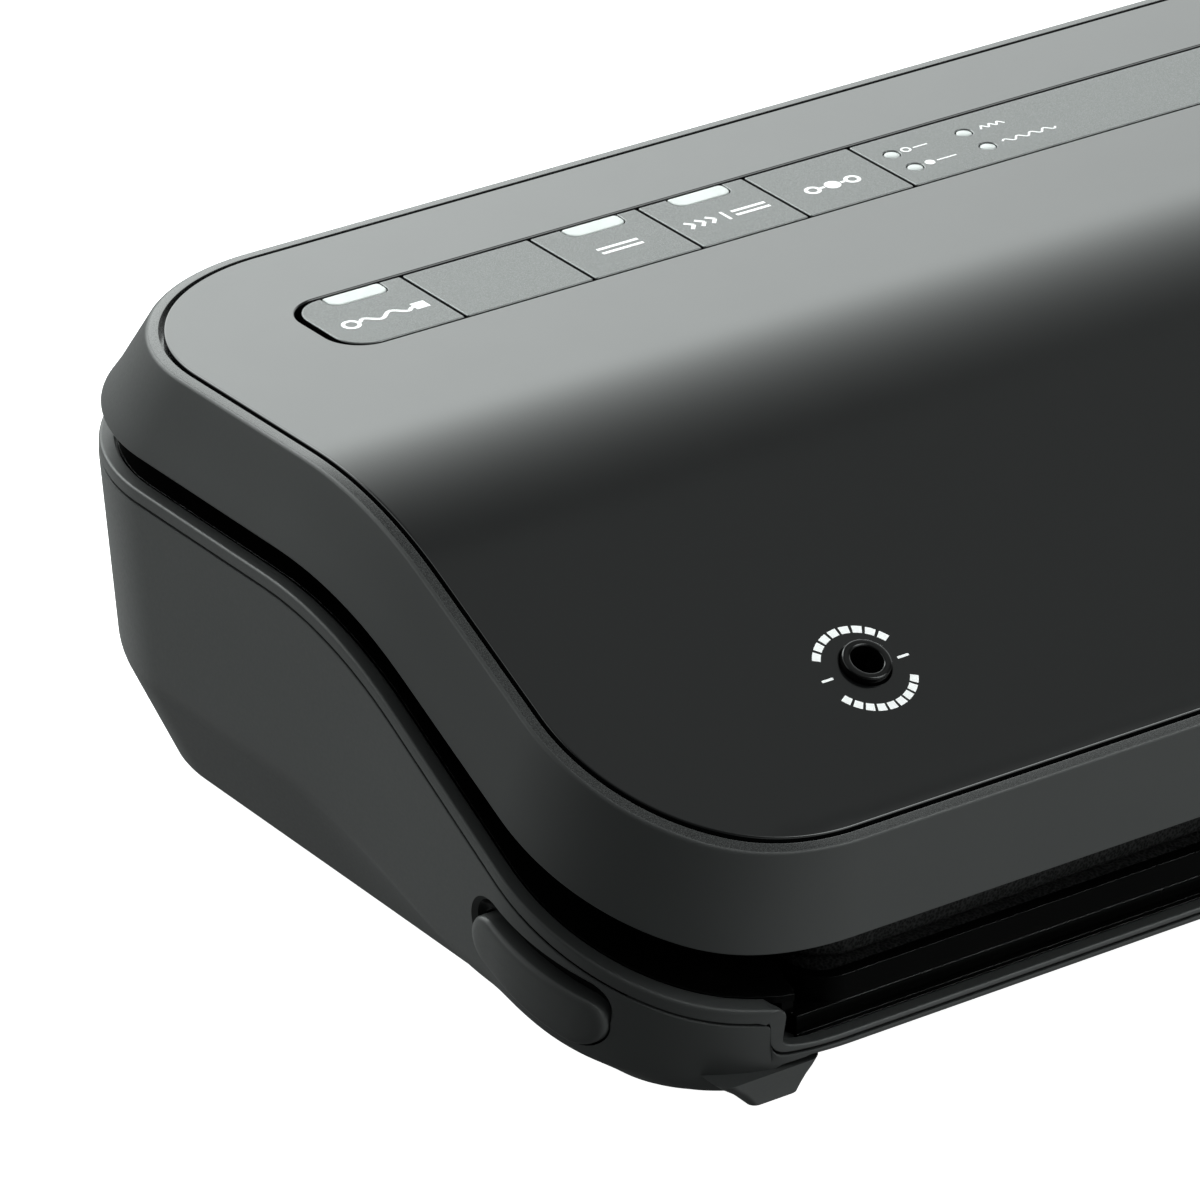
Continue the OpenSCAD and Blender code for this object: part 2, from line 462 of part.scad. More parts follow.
module transformer() color([0.3, 0.25, 0.2]) union() {
  translate([50, 6, 6.4]) cube([14, 46, 38]);
  translate([86, 6, 6.4]) cube([14, 46, 38]);
  translate([64, 6, 6.4]) cube([22, 46, 38]);
  translate([62, 12, 8]) cube([26, 34, 42]);
}
module capacitor() color([0.1, 0.1, 0.25]) translate([130, 30, 10.6]) cylinder(r = 9, h = 24, $fn = 64);
px = -117; py = 32; pz = 30;
module pump_motor() color(c_steel) translate([px, py, pz]) rotate([0, 90, 0]) difference() {
  union() {
    translate([0, 0, 12]) cylinder(r = 16, h = 48, $fn = 96);
    translate([0, 0, 9]) cylinder(r = 6, h = 3.2, $fn = 64);
    translate([0, 0, 60]) cylinder(r = 5, h = 3, $fn = 64);
  }
  translate([0, 0, 5]) cylinder(r = 2.05, h = 14, $fn = 64);
}
module pump_crank() color(c_steel) translate([px, py, pz]) rotate([0, 90, 0]) union() {
  translate([0, 0, -3]) cylinder(r = 10, h = 6, $fn = 96);
  translate([0, 0, 2.9]) cylinder(r = 2, h = 14, $fn = 64);
  translate([0, 5, -6.4]) cylinder(r = 2, h = 3.5, $fn = 48);
}
module pump_head() color([0.2, 0.2, 0.22]) union() {
  difference() {
    translate([-152, 10, 6.4]) cube([28, 44, 45.6]);
    translate([-131, 15, 13]) cube([8, 34, 34]);
  }
  translate([-146.5, 4, 9]) rotate([-90, 0, 0]) cylinder(r = 2.3, h = 6.2, $fn = 40);
  translate([-145, 16, 52]) cube([14, 32, 2.6]);
}
module pump_bracket() color(c_steel) difference() {
  translate([-105.4, 12, 5.8]) cube([40, 40, 28]);
  translate([-120, py, pz]) rotate([0, 90, 0]) cylinder(r = 16, h = 80, $fn = 96);
}
module release_valve() color([0.15, 0.15, 0.16]) union() {
  translate([-30, 4, 6.4]) cube([24, 18, 20]);
  translate([-18, 13, 26.3]) cylinder(r = 6, h = 9, $fn = 48);
  translate([-18, -2, 14]) rotate([-90, 0, 0]) cylinder(r = 2.2, h = 6.2, $fn = 40);
}
module chamber_nipple() color(c_black) translate([-146.5, -46.1, 9]) rotate([-90, 0, 0]) difference() {
  cylinder(r = 2.3, h = 17, $fn = 48);
  translate([0, 0, -1]) cylinder(r = 1.4, h = 19, $fn = 48);
}
module vacuum_hose() color([0.5, 0.5, 0.5]) translate([-146.5, -35.6, 9]) rotate([-90, 0, 0]) difference() {
  cylinder(r = 3.3, h = 45.4, $fn = 48);
  translate([0, 0, -1]) cylinder(r = 2.3, h = 48, $fn = 48);
}
module lid_switch() color([0.1, 0.1, 0.1]) union() {
  translate([-186, -24, 30]) cube([12, 6, 10]);
  translate([-181, -22.5, 40]) cube([2, 3, 1.6]);
}
// side release: rounded face that follows the wall, retaining flange, pawl
module release_one() {
  intersection() {
    translate([-206, 0, 0]) rotate([90, 0, 90]) linear_extrude(20.4) stadium(release_r);
    linear_extrude(60) polygon(basep(-1.2, 16, 10));
  }
  translate([-187.2, 0, 0]) rotate([90, 0, 90]) linear_extrude(1.8) stadium(release_r + 1.3);
  translate([-186.2, -66, 15]) cube([9, 8, 7]);
  translate([-185.5, -66, 20]) cube([6, 8, 7.5]);
}
module release_left() color(c_satin) release_one();
module release_right() color(c_satin) mirror([1, 0, 0]) release_one();
// compression spring between the slide and the pocket's end wall
module coil(x0, x1, turns, r, wr) {
  n = 12; steps = turns * 14;
  function c(i) = let (a = 360 * i / 14) [x0 + (x1 - x0) * i / steps, r * cos(a), r * sin(a)];
  function d(i) = let (a = 360 * i / 14, v = [(x1 - x0) / steps * 14 / (2 * PI), -r * sin(a), r * cos(a)]) v / norm(v);
  function e(i) = let (a = 360 * i / 14) [0, cos(a), sin(a)];
  stack([for (i = [0 : steps]) let (o = c(i), u = e(i), w = cross(d(i), u)) [for (k = [0 : 7]) o + wr * (u * cos(45 * k) + w * sin(45 * k))]]);
}
module spring_left() color(c_steel) translate([0, -62, 18.4]) coil(-176.8, -169.5, 4, 2.6, 0.35);
module spring_right() color(c_steel) translate([0, -62, 18.4]) mirror([1, 0, 0]) coil(-176.8, -169.5, 4, 2.6, 0.35);

base_tub();
base_rim();
base_deck();
lower_gasket();
heater_bar();
heating_element();
ptfe_tape();
drip_tray();
rubber_feet();
tub_screws();
hinge_brackets();
hinge_pins();
mains_inlet();
power_board();
transformer();
capacitor();
pump_motor();
pump_head();
pump_crank();
pump_bracket();
release_valve();
vacuum_hose();
chamber_nipple();
lid_switch();
release_left();
release_right();
spring_left();
spring_right();
lid_shell();
lid_panel();
lid_liner();
lid_screws();
hinge_arms();
latch_posts();
upper_gasket();
pressure_strip();
accessory_port();
port_hose();
control_board();
key_switches();
accessory_key();
key_blank();
seal_key();
vac_seal_key();
mode_key();
indicator_strip();
accessory_window();
seal_window();
vac_seal_window();
mode_leds();
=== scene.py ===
import bpy, bmesh, math
import numpy as np
from mathutils import Vector, Matrix
from mathutils.geometry import delaunay_2d_cdt


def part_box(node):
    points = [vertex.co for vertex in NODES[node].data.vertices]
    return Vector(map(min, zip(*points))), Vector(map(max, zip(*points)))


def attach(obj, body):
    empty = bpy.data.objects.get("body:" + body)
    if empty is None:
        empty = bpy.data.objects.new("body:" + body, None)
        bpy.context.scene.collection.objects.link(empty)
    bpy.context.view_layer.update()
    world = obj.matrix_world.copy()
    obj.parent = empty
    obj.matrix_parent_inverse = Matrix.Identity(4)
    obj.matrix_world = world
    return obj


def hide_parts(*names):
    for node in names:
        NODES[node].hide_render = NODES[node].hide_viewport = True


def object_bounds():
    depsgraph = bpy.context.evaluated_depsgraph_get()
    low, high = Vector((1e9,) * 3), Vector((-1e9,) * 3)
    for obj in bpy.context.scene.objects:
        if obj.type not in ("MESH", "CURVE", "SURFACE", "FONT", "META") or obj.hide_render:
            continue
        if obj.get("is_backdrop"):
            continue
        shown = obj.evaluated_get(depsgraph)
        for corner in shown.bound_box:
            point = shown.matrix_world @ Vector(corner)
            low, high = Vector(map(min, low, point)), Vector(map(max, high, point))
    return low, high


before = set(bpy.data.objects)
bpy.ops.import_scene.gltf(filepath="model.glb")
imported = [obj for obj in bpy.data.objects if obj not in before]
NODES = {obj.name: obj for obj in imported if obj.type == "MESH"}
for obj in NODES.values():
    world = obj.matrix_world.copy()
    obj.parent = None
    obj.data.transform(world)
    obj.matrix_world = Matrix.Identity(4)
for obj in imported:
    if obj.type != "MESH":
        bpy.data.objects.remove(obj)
cad_lo, cad_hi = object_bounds()
MM = 0.001
PI = math.pi

# ------------------------------------------------------------------ form of the case, millimetres
LID_W, LID_D = 400.0, 192.3
YF, YR = -LID_D / 2, LID_D / 2
SLOPE = 26.3
RIM_W, PANEL_T = 2.3, 2.2
STRIP_X, STRIP_Y, STRIP_D = 165.2, 50.1, 21.6
KEY_TOP = 84.95
PORT_X, PORT_Y, PORT_RO, PORT_RI = -132.2, -65.6, 4.4, 2.9
BXH, BYF, BYR, BFX, BFY, BRR = 200.7, -95.2, 96.15, 43.8, 39.2, 43.7
RIM_H = 2.6
REL = ((-53.5, 21.9), (-72.7, 14.9))
REL_R = 4.7
LEDS = ((-37.7, 53.7), (-37.6, 46.8), (-21.1, 54.0), (-21.2, 46.7))


def mix(a, b, t):
    return a + (b - a) * t


def smooth(t):
    u = min(1.0, max(0.0, t))
    return u * u * (3 - 2 * u)


def scurve(y, zr, zf, ym, al, r1, r2):
    al = math.radians(al)
    ta, sa, th = math.tan(al), math.sin(al), math.tan(al / 2)
    zm = (zr + zf) / 2
    c1 = ym + (zr - zm) / ta + r1 * th
    c2 = ym - (zm - zf) / ta - r2 * th
    if y >= c1:
        return zr
    if y >= c1 - r1 * sa:
        return zr - r1 + math.sqrt(max(0, r1 * r1 - (y - c1) ** 2))
    if y >= c2 + r2 * sa:
        return zm + (y - ym) * ta
    if y >= c2:
        return zf + r2 - math.sqrt(max(0, r2 * r2 - (y - c2) ** 2))
    return zf


def soft_table(fn, w):
    """fn(y) averaged over a short window, so that the bends run into the flats without a step in curvature."""
    ys = np.arange(-130, 130.01, 0.25)
    v = np.array([fn(y) for y in ys])
    n = int(w / 0.25)
    k = np.hanning(2 * n + 3)[1:-1]
    k /= k.sum()
    pad = np.pad(v, n, mode="edge")
    s = np.convolve(pad, k, mode="valid")
    return lambda y: float(np.interp(y, ys, s))


zl = soft_table(lambda y: scurve(y, 68.9, 28.1, -51.4, SLOPE, 82.7, 19.4), 5)
zb = soft_table(lambda y: scurve(y, 60.5, 13.6, -50.6, 28.5, 80.6, 33), 5)


def fr(y):
    return min(1.0, max(0.0, (y - YF) / (YR - YF)))


def zt(y):
    return zl(y) + mix(17.2, 15.6, fr(y))


def zp(y):
    return zt(y) + 0.3


def slope_normal(fn, y, h=0.3):
    d = (fn(y + h) - fn(y - h)) / (2 * h)
    return Vector((0, -d, 1)).normalized()


def half(xh, f, r, rx, ry, rr, na=56, ns=170):
    """left half of a plan outline, rear centre to front centre"""
    p = [(-(xh - rr) * i / 6 * 0.9995, r) for i in range(0, 7)][:-1]
    p[0] = (0.0, r)
    p += [(-(xh - rr) - rr * math.sin(t), r - rr + rr * math.cos(t)) for t in [PI / 2 * i / na for i in range(na + 1)]]
    p += [(-xh, mix(r - rr, f + ry, i / ns)) for i in range(1, ns)]
    p += [(-(xh - rx) - rx * math.cos(t), f + ry - ry * math.sin(t)) for t in [PI / 2 * i / na for i in range(na + 1)]]
    p += [(-(xh - rx) * (1 - i / 6), f) for i in range(1, 7)]
    p[-1] = (0.0, f)
    return p


def whole(h):
    return h + [(-p[0],) + tuple(p[1:]) for p in h[-2:0:-1]]


def lidp(a, e, **k):
    return whole(half(LID_W / 2 - a * 4.9 - e, YF + a * 1.0 + e, YR - a * 10.9 - e,
                      mix(42.9, 41.2, a) - e, mix(39.9, 38.5, a) - e, mix(43.7, 38.8, a) - e, **k))


# ------------------------------------------------------------------ mesh helpers
def new_mesh(name, verts, faces, smooth_angle=35, weighted=True):
    me = bpy.data.meshes.new(name)
    me.from_pydata([Vector(v) * MM for v in verts], [], faces)
    me.validate()
    me.update()
    ob = bpy.data.objects.new(name, me)
    bpy.context.scene.collection.objects.link(ob)
    for p in me.polygons:
        p.use_smooth = True
    if smooth_angle:
        me.set_sharp_from_angle(angle=math.radians(smooth_angle))
    if weighted:
        m = ob.modifiers.new("wn", "WEIGHTED_NORMAL")
        m.keep_sharp = True
        m.weight = 100
    return ob


def ring_faces(rings, closed_v=False, base=0, flip=False):
    n = len(rings[0])
    m = len(rings)
    fs = []
    for j in range(m if closed_v else m - 1):
        k = (j + 1) % m
        for i in range(n):
            q = (i + 1) % n
            f = (base + j * n + i, base + j * n + q, base + k * n + q, base + k * n + i)
            fs.append(f[::-1] if flip else f)
    return fs


def bake(ob):
    """apply the modifiers"""
    dg = bpy.context.evaluated_depsgraph_get()
    dg.update()
    me = bpy.data.meshes.new_from_object(ob.evaluated_get(dg))
    ob.modifiers.clear()
    old = ob.data
    ob.data = me
    bpy.data.meshes.remove(old)
    return ob


def outward(ob):
    bm = bmesh.new()
    bm.from_mesh(ob.data)
    bmesh.ops.recalc_face_normals(bm, faces=bm.faces)
    bm.to_mesh(ob.data)
    bm.free()
    return ob


def cut(ob, cutter, op="DIFFERENCE"):
    m = ob.modifiers.new("b", "BOOLEAN")
    m.operation, m.object, m.solver = op, cutter, "EXACT"
    bake(ob)
    bpy.data.objects.remove(cutter)
    return ob


# ------------------------------------------------------------------ materials
def mat(name):
    m = bpy.data.materials.new(name)
    m.use_nodes = True
    nt = m.node_tree
    b = nt.nodes["Principled BSDF"]
    return m, nt, b


def node(nt, kind, **k):
    n = nt.nodes.new(kind)
    for a, v in k.items():
        if a in n.inputs:
            n.inputs[a].default_value = v
        else:
            setattr(n, a, v)
    return n


def noise(nt, scale, detail=4.0, rough=0.5):
    tc = nt.nodes.new("ShaderNodeTexCoord")
    n = nt.nodes.new("ShaderNodeTexNoise")
    n.inputs["Scale"].default_value = scale
    n.inputs["Detail"].default_value = detail
    n.inputs["Roughness"].default_value = rough
    nt.links.new(tc.outputs["Object"], n.inputs["Vector"])
    return n


def ramp(nt, src, stops):
    r = nt.nodes.new("ShaderNodeValToRGB")
    e = r.color_ramp.elements
    e[0].position, e[0].color = stops[0][0], (*stops[0][1], 1)
    e[1].position, e[1].color = stops[-1][0], (*stops[-1][1], 1)
    for pos, col in stops[1:-1]:
        x = e.new(pos)
        x.color = (*col, 1)
    nt.links.new(src, r.inputs["Fac"])
    return r


def rng(nt, src, a, b, lo=0.0, hi=1.0):
    r = nt.nodes.new("ShaderNodeMapRange")
    r.inputs["From Min"].default_value = lo
    r.inputs["From Max"].default_value = hi
    r.inputs["To Min"].default_value = a
    r.inputs["To Max"].default_value = b
    nt.links.new(src, r.inputs["Value"])
    return r


def bump(nt, b, src, dist, strength=1.0):
    n = nt.nodes.new("ShaderNodeBump")
    n.inputs["Distance"].default_value = dist
    n.inputs["Strength"].default_value = strength
    nt.links.new(src, n.inputs["Height"])
    nt.links.new(n.outputs["Normal"], b.inputs["Normal"])
    return n


def plastic(name, lo, hi, r0, r1, scale=900, dist=0.00002, ior=1.5, spec=0.5, wear=None):
    """moulded plastic: faint mottling in colour and gloss, fine spark-eroded grain"""
    m, nt, b = mat(name)
    b.inputs["IOR"].default_value = ior
    b.inputs["Specular IOR Level"].default_value = spec
    big = noise(nt, 35, 3)
    fine = noise(nt, scale, 3, 0.6)
    c = ramp(nt, big.outputs["Fac"], [(0.3, lo), (0.7, hi)])
    nt.links.new(c.outputs["Color"], b.inputs["Base Color"])
    r = rng(nt, fine.outputs["Fac"], r0, r1, 0.3, 0.7)
    nt.links.new(r.outputs["Result"], b.inputs["Roughness"])
    if dist:
        bump(nt, b, fine.outputs["Fac"], dist)
    return m


def grey(v, tint=(1, 1, 1)):
    return tuple(v * t for t in tint)


T = (0.96, 1.0, 1.0)
M_SKIRT = plastic("satin_skirt", grey(0.030, T), grey(0.034, T), 0.40, 0.46, 1500, 0.000006)
M_BASE = plastic("satin_base", grey(0.031, T), grey(0.035, T), 0.42, 0.48, 1500, 0.000006)
M_INNER = plastic("inner_black", grey(0.0014), grey(0.0022), 0.14, 0.2, 1200, 0.000002, spec=0.22)
M_LINER = plastic("liner_black", grey(0.0025), grey(0.0035), 0.3, 0.4, 1200, 0.000006, spec=0.14)

# sealing deck: deep black plastic; its reflectivity is set by the slant of the surface, so flat faces reflect almost
# nothing (painted shade) and the rounded edges carry painted highlights
M_DECK_SLANT_SHEEN, nt, b = mat("deck_black_slant_sheen")
c = ramp(nt, noise(nt, 35, 3).outputs["Fac"], [(0.3, grey(0.0008)), (0.7, grey(0.0014))])
nt.links.new(c.outputs["Color"], b.inputs["Base Color"])
b.inputs["Roughness"].default_value = 0.16
# specular level from the normal's z: near zero on flat faces (painted shade), high on slanted edge rounds (painted
# highlights)
tc = nt.nodes.new("ShaderNodeTexCoord")
sx = nt.nodes.new("ShaderNodeSeparateXYZ")
nt.links.new(tc.outputs["Normal"], sx.inputs[0])
w = nt.nodes.new("ShaderNodeMath")
w.operation = "MULTIPLY"
nt.links.new(rng(nt, sx.outputs["Z"], 0.02, 1.0, 0.2, 0.42).outputs["Result"], w.inputs[0])
nt.links.new(rng(nt, sx.outputs["Z"], 1.0, 0.06, 0.94, 0.99).outputs["Result"], w.inputs[1])
nt.links.new(w.outputs[0], b.inputs["Specular IOR Level"])

# glossy panel: lacquered black, very slight variation in gloss
M_PANEL, nt, b = mat("gloss_panel")
b.inputs["IOR"].default_value = 1.52
c = ramp(nt, noise(nt, 12, 2).outputs["Fac"], [(0.3, (0.0022, 0.0024, 0.0026)), (0.7, (0.0028, 0.0030, 0.0032))])
nt.links.new(c.outputs["Color"], b.inputs["Base Color"])
r = rng(nt, noise(nt, 60, 5, 0.7).outputs["Fac"], 0.135, 0.165, 0.3, 0.7)
nt.links.new(r.outputs["Result"], b.inputs["Roughness"])

# rim strip: fine spark-eroded texture
M_RIM, nt, b = mat("textured_rim")
f = noise(nt, 4200, 2, 0.6)
c = ramp(nt, f.outputs["Fac"], [(0.35, grey(0.008, T)), (0.62, grey(0.030, T))])
nt.links.new(c.outputs["Color"], b.inputs["Base Color"])
r = rng(nt, f.outputs["Fac"], 0.14, 0.34, 0.3, 0.7)
nt.links.new(r.outputs["Result"], b.inputs["Roughness"])
bump(nt, b, f.outputs["Fac"], 0.000014, 0.8)

# key tops: metallic grey lacquer with a fine sparkle
M_KEY, nt, b = mat("key_lacquer")
f = noise(nt, 5200, 2, 0.6)
c = ramp(nt, f.outputs["Fac"], [(0.34, (0.090, 0.094, 0.093)), (0.50, (0.135, 0.140, 0.138)), (0.66, (0.235, 0.240, 0.238))])
nt.links.new(c.outputs["Color"], b.inputs["Base Color"])
b.inputs["Metallic"].default_value = 0.45
r = rng(nt, f.outputs["Fac"], 0.34, 0.5, 0.3, 0.7)
nt.links.new(r.outputs["Result"], b.inputs["Roughness"])
bump(nt, b, f.outputs["Fac"], 0.000012, 0.8)

# cut edge of the key tops: smoother than the top
M_EDGE, nt, b = mat("key_edge")
b.inputs["Metallic"].default_value = 0.5
c = ramp(nt, noise(nt, 300, 3).outputs["Fac"], [(0.3, (0.125, 0.13, 0.13)), (0.7, (0.15, 0.155, 0.155))])
nt.links.new(c.outputs["Color"], b.inputs["Base Color"])
b.inputs["Roughness"].default_value = 0.26

# printed marks and light windows; both have a weak emission, a painted glow that brightens them
M_PRINT_GLOW, nt, b = mat("white_print_glow")
c = ramp(nt, noise(nt, 2500, 2).outputs["Fac"], [(0.3, (0.86, 0.87, 0.87)), (0.7, (0.93, 0.94, 0.94))])
nt.links.new(c.outputs["Color"], b.inputs["Base Color"])
b.inputs["Roughness"].default_value = 0.5
# weak emission: a painted glow on the print, which is no lamp
b.inputs["Emission Color"].default_value = (1, 1, 1, 1)
b.inputs["Emission Strength"].default_value = 0.16
M_WINDOW_GLOW, nt, b = mat("light_window")
c = ramp(nt, noise(nt, 500, 3).outputs["Fac"], [(0.3, (0.55, 0.58, 0.57)), (0.7, (0.60, 0.63, 0.62))])
nt.links.new(c.outputs["Color"], b.inputs["Base Color"])
b.inputs["Roughness"].default_value = 0.28
b.inputs["Subsurface Weight"].default_value = 0.25
# weak emission: a painted glow that brightens the windows and the light pipes
b.inputs["Emission Color"].default_value = (1, 1, 1, 1)
b.inputs["Emission Strength"].default_value = 0.02
b.inputs["Subsurface Radius"].default_value = (0.001, 0.001, 0.001)

# foam: open grain
M_FOAM, nt, b = mat("gasket_foam")
v = nt.nodes.new("ShaderNodeTexVoronoi")
v.inputs["Scale"].default_value = 1900
tc = nt.nodes.new("ShaderNodeTexCoord")
nt.links.new(tc.outputs["Object"], v.inputs["Vector"])
c = ramp(nt, v.outputs["Distance"], [(0.05, grey(0.003)), (0.4, grey(0.010)), (0.75, grey(0.030))])
nt.links.new(c.outputs["Color"], b.inputs["Base Color"])
b.inputs["Roughness"].default_value = 0.85
b.inputs["Specular IOR Level"].default_value = 0.25
bump(nt, b, v.outputs["Distance"], 0.0003, 0.8)

M_RUBBER = plastic("foot_rubber", grey(0.012), grey(0.02), 0.7, 0.85, 700, 0.00006)
M_SWITCH = plastic("switch_black", grey(0.012), grey(0.018), 0.4, 0.5, 900, 0.00002)
M_PUMP = plastic("pump_nylon", grey(0.03), grey(0.045), 0.45, 0.6, 700, 0.00004)
M_TRAY = plastic("tray_plastic", grey(0.03, T), grey(0.038, T), 0.22, 0.3, 1200, 0.000004)
M_BOARD = plastic("board_mask", (0.012, 0.07, 0.03), (0.018, 0.10, 0.04), 0.25, 0.4, 400, 0.00002)
M_CORE = plastic("varnished_core", (0.07, 0.055, 0.04), (0.12, 0.10, 0.08), 0.35, 0.5, 500, 0.00006)
M_CAN = plastic("sleeve", (0.01, 0.012, 0.045), (0.014, 0.016, 0.06), 0.25, 0.35, 700, 0.00001)
M_RED = plastic("silicone_strip", (0.16, 0.016, 0.012), (0.2, 0.02, 0.016), 0.5, 0.62, 600, 0.00003)


def metal(name, col, r0, r1, stretch=(1, 40, 40)):
    m, nt, b = mat(name)
    b.inputs["Metallic"].default_value = 1.0
    tc = nt.nodes.new("ShaderNodeTexCoord")
    mp = nt.nodes.new("ShaderNodeMapping")
    mp.inputs["Scale"].default_value = stretch
    nt.links.new(tc.outputs["Object"], mp.inputs["Vector"])
    n = nt.nodes.new("ShaderNodeTexNoise")
    n.inputs["Scale"].default_value = 60
    n.inputs["Detail"].default_value = 6
    nt.links.new(mp.outputs["Vector"], n.inputs["Vector"])
    c = ramp(nt, n.outputs["Fac"], [(0.3, tuple(x * 0.8 for x in col)), (0.7, col)])
    nt.links.new(c.outputs["Color"], b.inputs["Base Color"])
    r = rng(nt, n.outputs["Fac"], r0, r1, 0.3, 0.7)
    nt.links.new(r.outputs["Result"], b.inputs["Roughness"])
    bump(nt, b, n.outputs["Fac"], 0.00002, 0.5)
    return m


M_STEEL = metal("plated_steel", (0.62, 0.62, 0.63), 0.25, 0.4)
M_WIRE = metal("element_ribbon", (0.5, 0.46, 0.4), 0.3, 0.45)
M_PORT = plastic("port_black", grey(0.0015), grey(0.0025), 0.1, 0.15, 600, 0.000002, spec=0.3)

# woven release tape over the element
M_TAPE, nt, b = mat("woven_tape")
tc = nt.nodes.new("ShaderNodeTexCoord")
w1 = nt.nodes.new("ShaderNodeTexWave"); w1.bands_direction = "X"; w1.inputs["Scale"].default_value = 420
w2 = nt.nodes.new("ShaderNodeTexWave"); w2.bands_direction = "Y"; w2.inputs["Scale"].default_value = 420
for w in (w1, w2):
    nt.links.new(tc.outputs["Object"], w.inputs["Vector"])
mx = nt.nodes.new("ShaderNodeMath"); mx.operation = "MULTIPLY"
nt.links.new(w1.outputs["Fac"], mx.inputs[0]); nt.links.new(w2.outputs["Fac"], mx.inputs[1])
c = ramp(nt, mx.outputs[0], [(0.0, (0.13, 0.09, 0.05)), (0.6, (0.24, 0.17, 0.10))])
nt.links.new(c.outputs["Color"], b.inputs["Base Color"])
b.inputs["Roughness"].default_value = 0.42
bump(nt, b, mx.outputs[0], 0.00005, 0.5)

# clear silicone hose
M_HOSE, nt, b = mat("silicone_hose")
c = ramp(nt, noise(nt, 80, 3).outputs["Fac"], [(0.3, (0.5, 0.5, 0.48)), (0.7, (0.62, 0.62, 0.6))])
nt.links.new(c.outputs["Color"], b.inputs["Base Color"])
b.inputs["Roughness"].default_value = 0.3
b.inputs["Transmission Weight"].default_value = 0.45


def paint(ob, m):
    ob.data.materials.clear()
    ob.data.materials.append(m)
    return ob


# ------------------------------------------------------------------ carried-over CAD nodes
def finish_cad(name, m, width=0.0, seg=2, angle=35):
    """finish and small edge radius on a CAD node; its mesh stays as it is"""
    ob = NODES[name]
    ob.data.materials.clear()
    ob.data.materials.append(m)
    for p in ob.data.polygons:
        p.material_index = 0
        p.use_smooth = True
    if width:
        w = ob.modifiers.new("weld", "WELD")
        w.merge_threshold = 0.000004
        bv = ob.modifiers.new("edge", "BEVEL")
        bv.width = width * MM
        bv.segments = seg
        bv.limit_method = "ANGLE"
        bv.angle_limit = math.radians(angle)
        bv.use_clamp_overlap = True
        bv.harden_normals = False
        wn = ob.modifiers.new("wn", "WEIGHTED_NORMAL")
        wn.keep_sharp = False
        wn.weight = 100
    return ob


for n, m, w in (
    ("base_deck", M_DECK_SLANT_SHEEN, 0.3), ("heater_bar", M_CORE, 0.3), ("heating_element", M_WIRE, 0), ("ptfe_tape", M_TAPE, 0),
    ("drip_tray", M_TRAY, 0.5), ("rubber_feet", M_RUBBER, 0.4), ("tub_screws", M_STEEL, 0.3), ("hinge_brackets", M_INNER, 0.4),
    ("hinge_pins", M_STEEL, 0.2), ("mains_inlet", M_SWITCH, 0.3), ("power_board", M_BOARD, 0), ("transformer", M_CORE, 0.5),
    ("capacitor", M_CAN, 0.8), ("pump_motor", M_STEEL, 0.6), ("pump_head", M_PUMP, 0.8), ("pump_crank", M_STEEL, 0.3),
    ("pump_bracket", M_STEEL, 0.4), ("release_valve", M_PUMP, 0.5), ("vacuum_hose", M_HOSE, 0.2), ("chamber_nipple", M_INNER, 0.2),
    ("lid_switch", M_SWITCH, 0.3), ("spring_left", M_STEEL, 0), ("spring_right", M_STEEL, 0), ("lid_liner", M_LINER, 0.3),
    ("lid_screws", M_STEEL, 0.3), ("hinge_arms", M_LINER, 0.4), ("latch_posts", M_LINER, 0.3), ("pressure_strip", M_RED, 0.6),
    ("accessory_port", M_PORT, 0.35), ("port_hose", M_HOSE, 0), ("control_board", M_BOARD, 0), ("key_switches", M_SWITCH, 0.2),
    ("accessory_key", M_KEY, 0.22), ("key_blank", M_KEY, 0.22), ("seal_key", M_KEY, 0.22), ("vac_seal_key", M_KEY, 0.22),
    ("mode_key", M_KEY, 0.22), ("indicator_strip", M_KEY, 0.22), ("accessory_window", M_WINDOW_GLOW, 0.2), ("seal_window", M_WINDOW_GLOW, 0.2),
    ("vac_seal_window", M_WINDOW_GLOW, 0.2), ("mode_leds", M_WINDOW_GLOW, 0.25),
    ("base_tub", M_BASE, 0), ("base_rim", M_BASE, 0), ("lid_shell", M_SKIRT, 0), ("lid_panel", M_PANEL, 0), ("lower_gasket", M_FOAM, 0),
    ("upper_gasket", M_FOAM, 0), ("release_left", M_BASE, 0), ("release_right", M_BASE, 0),
):
    if n in NODES:
        finish_cad(n, m, w)

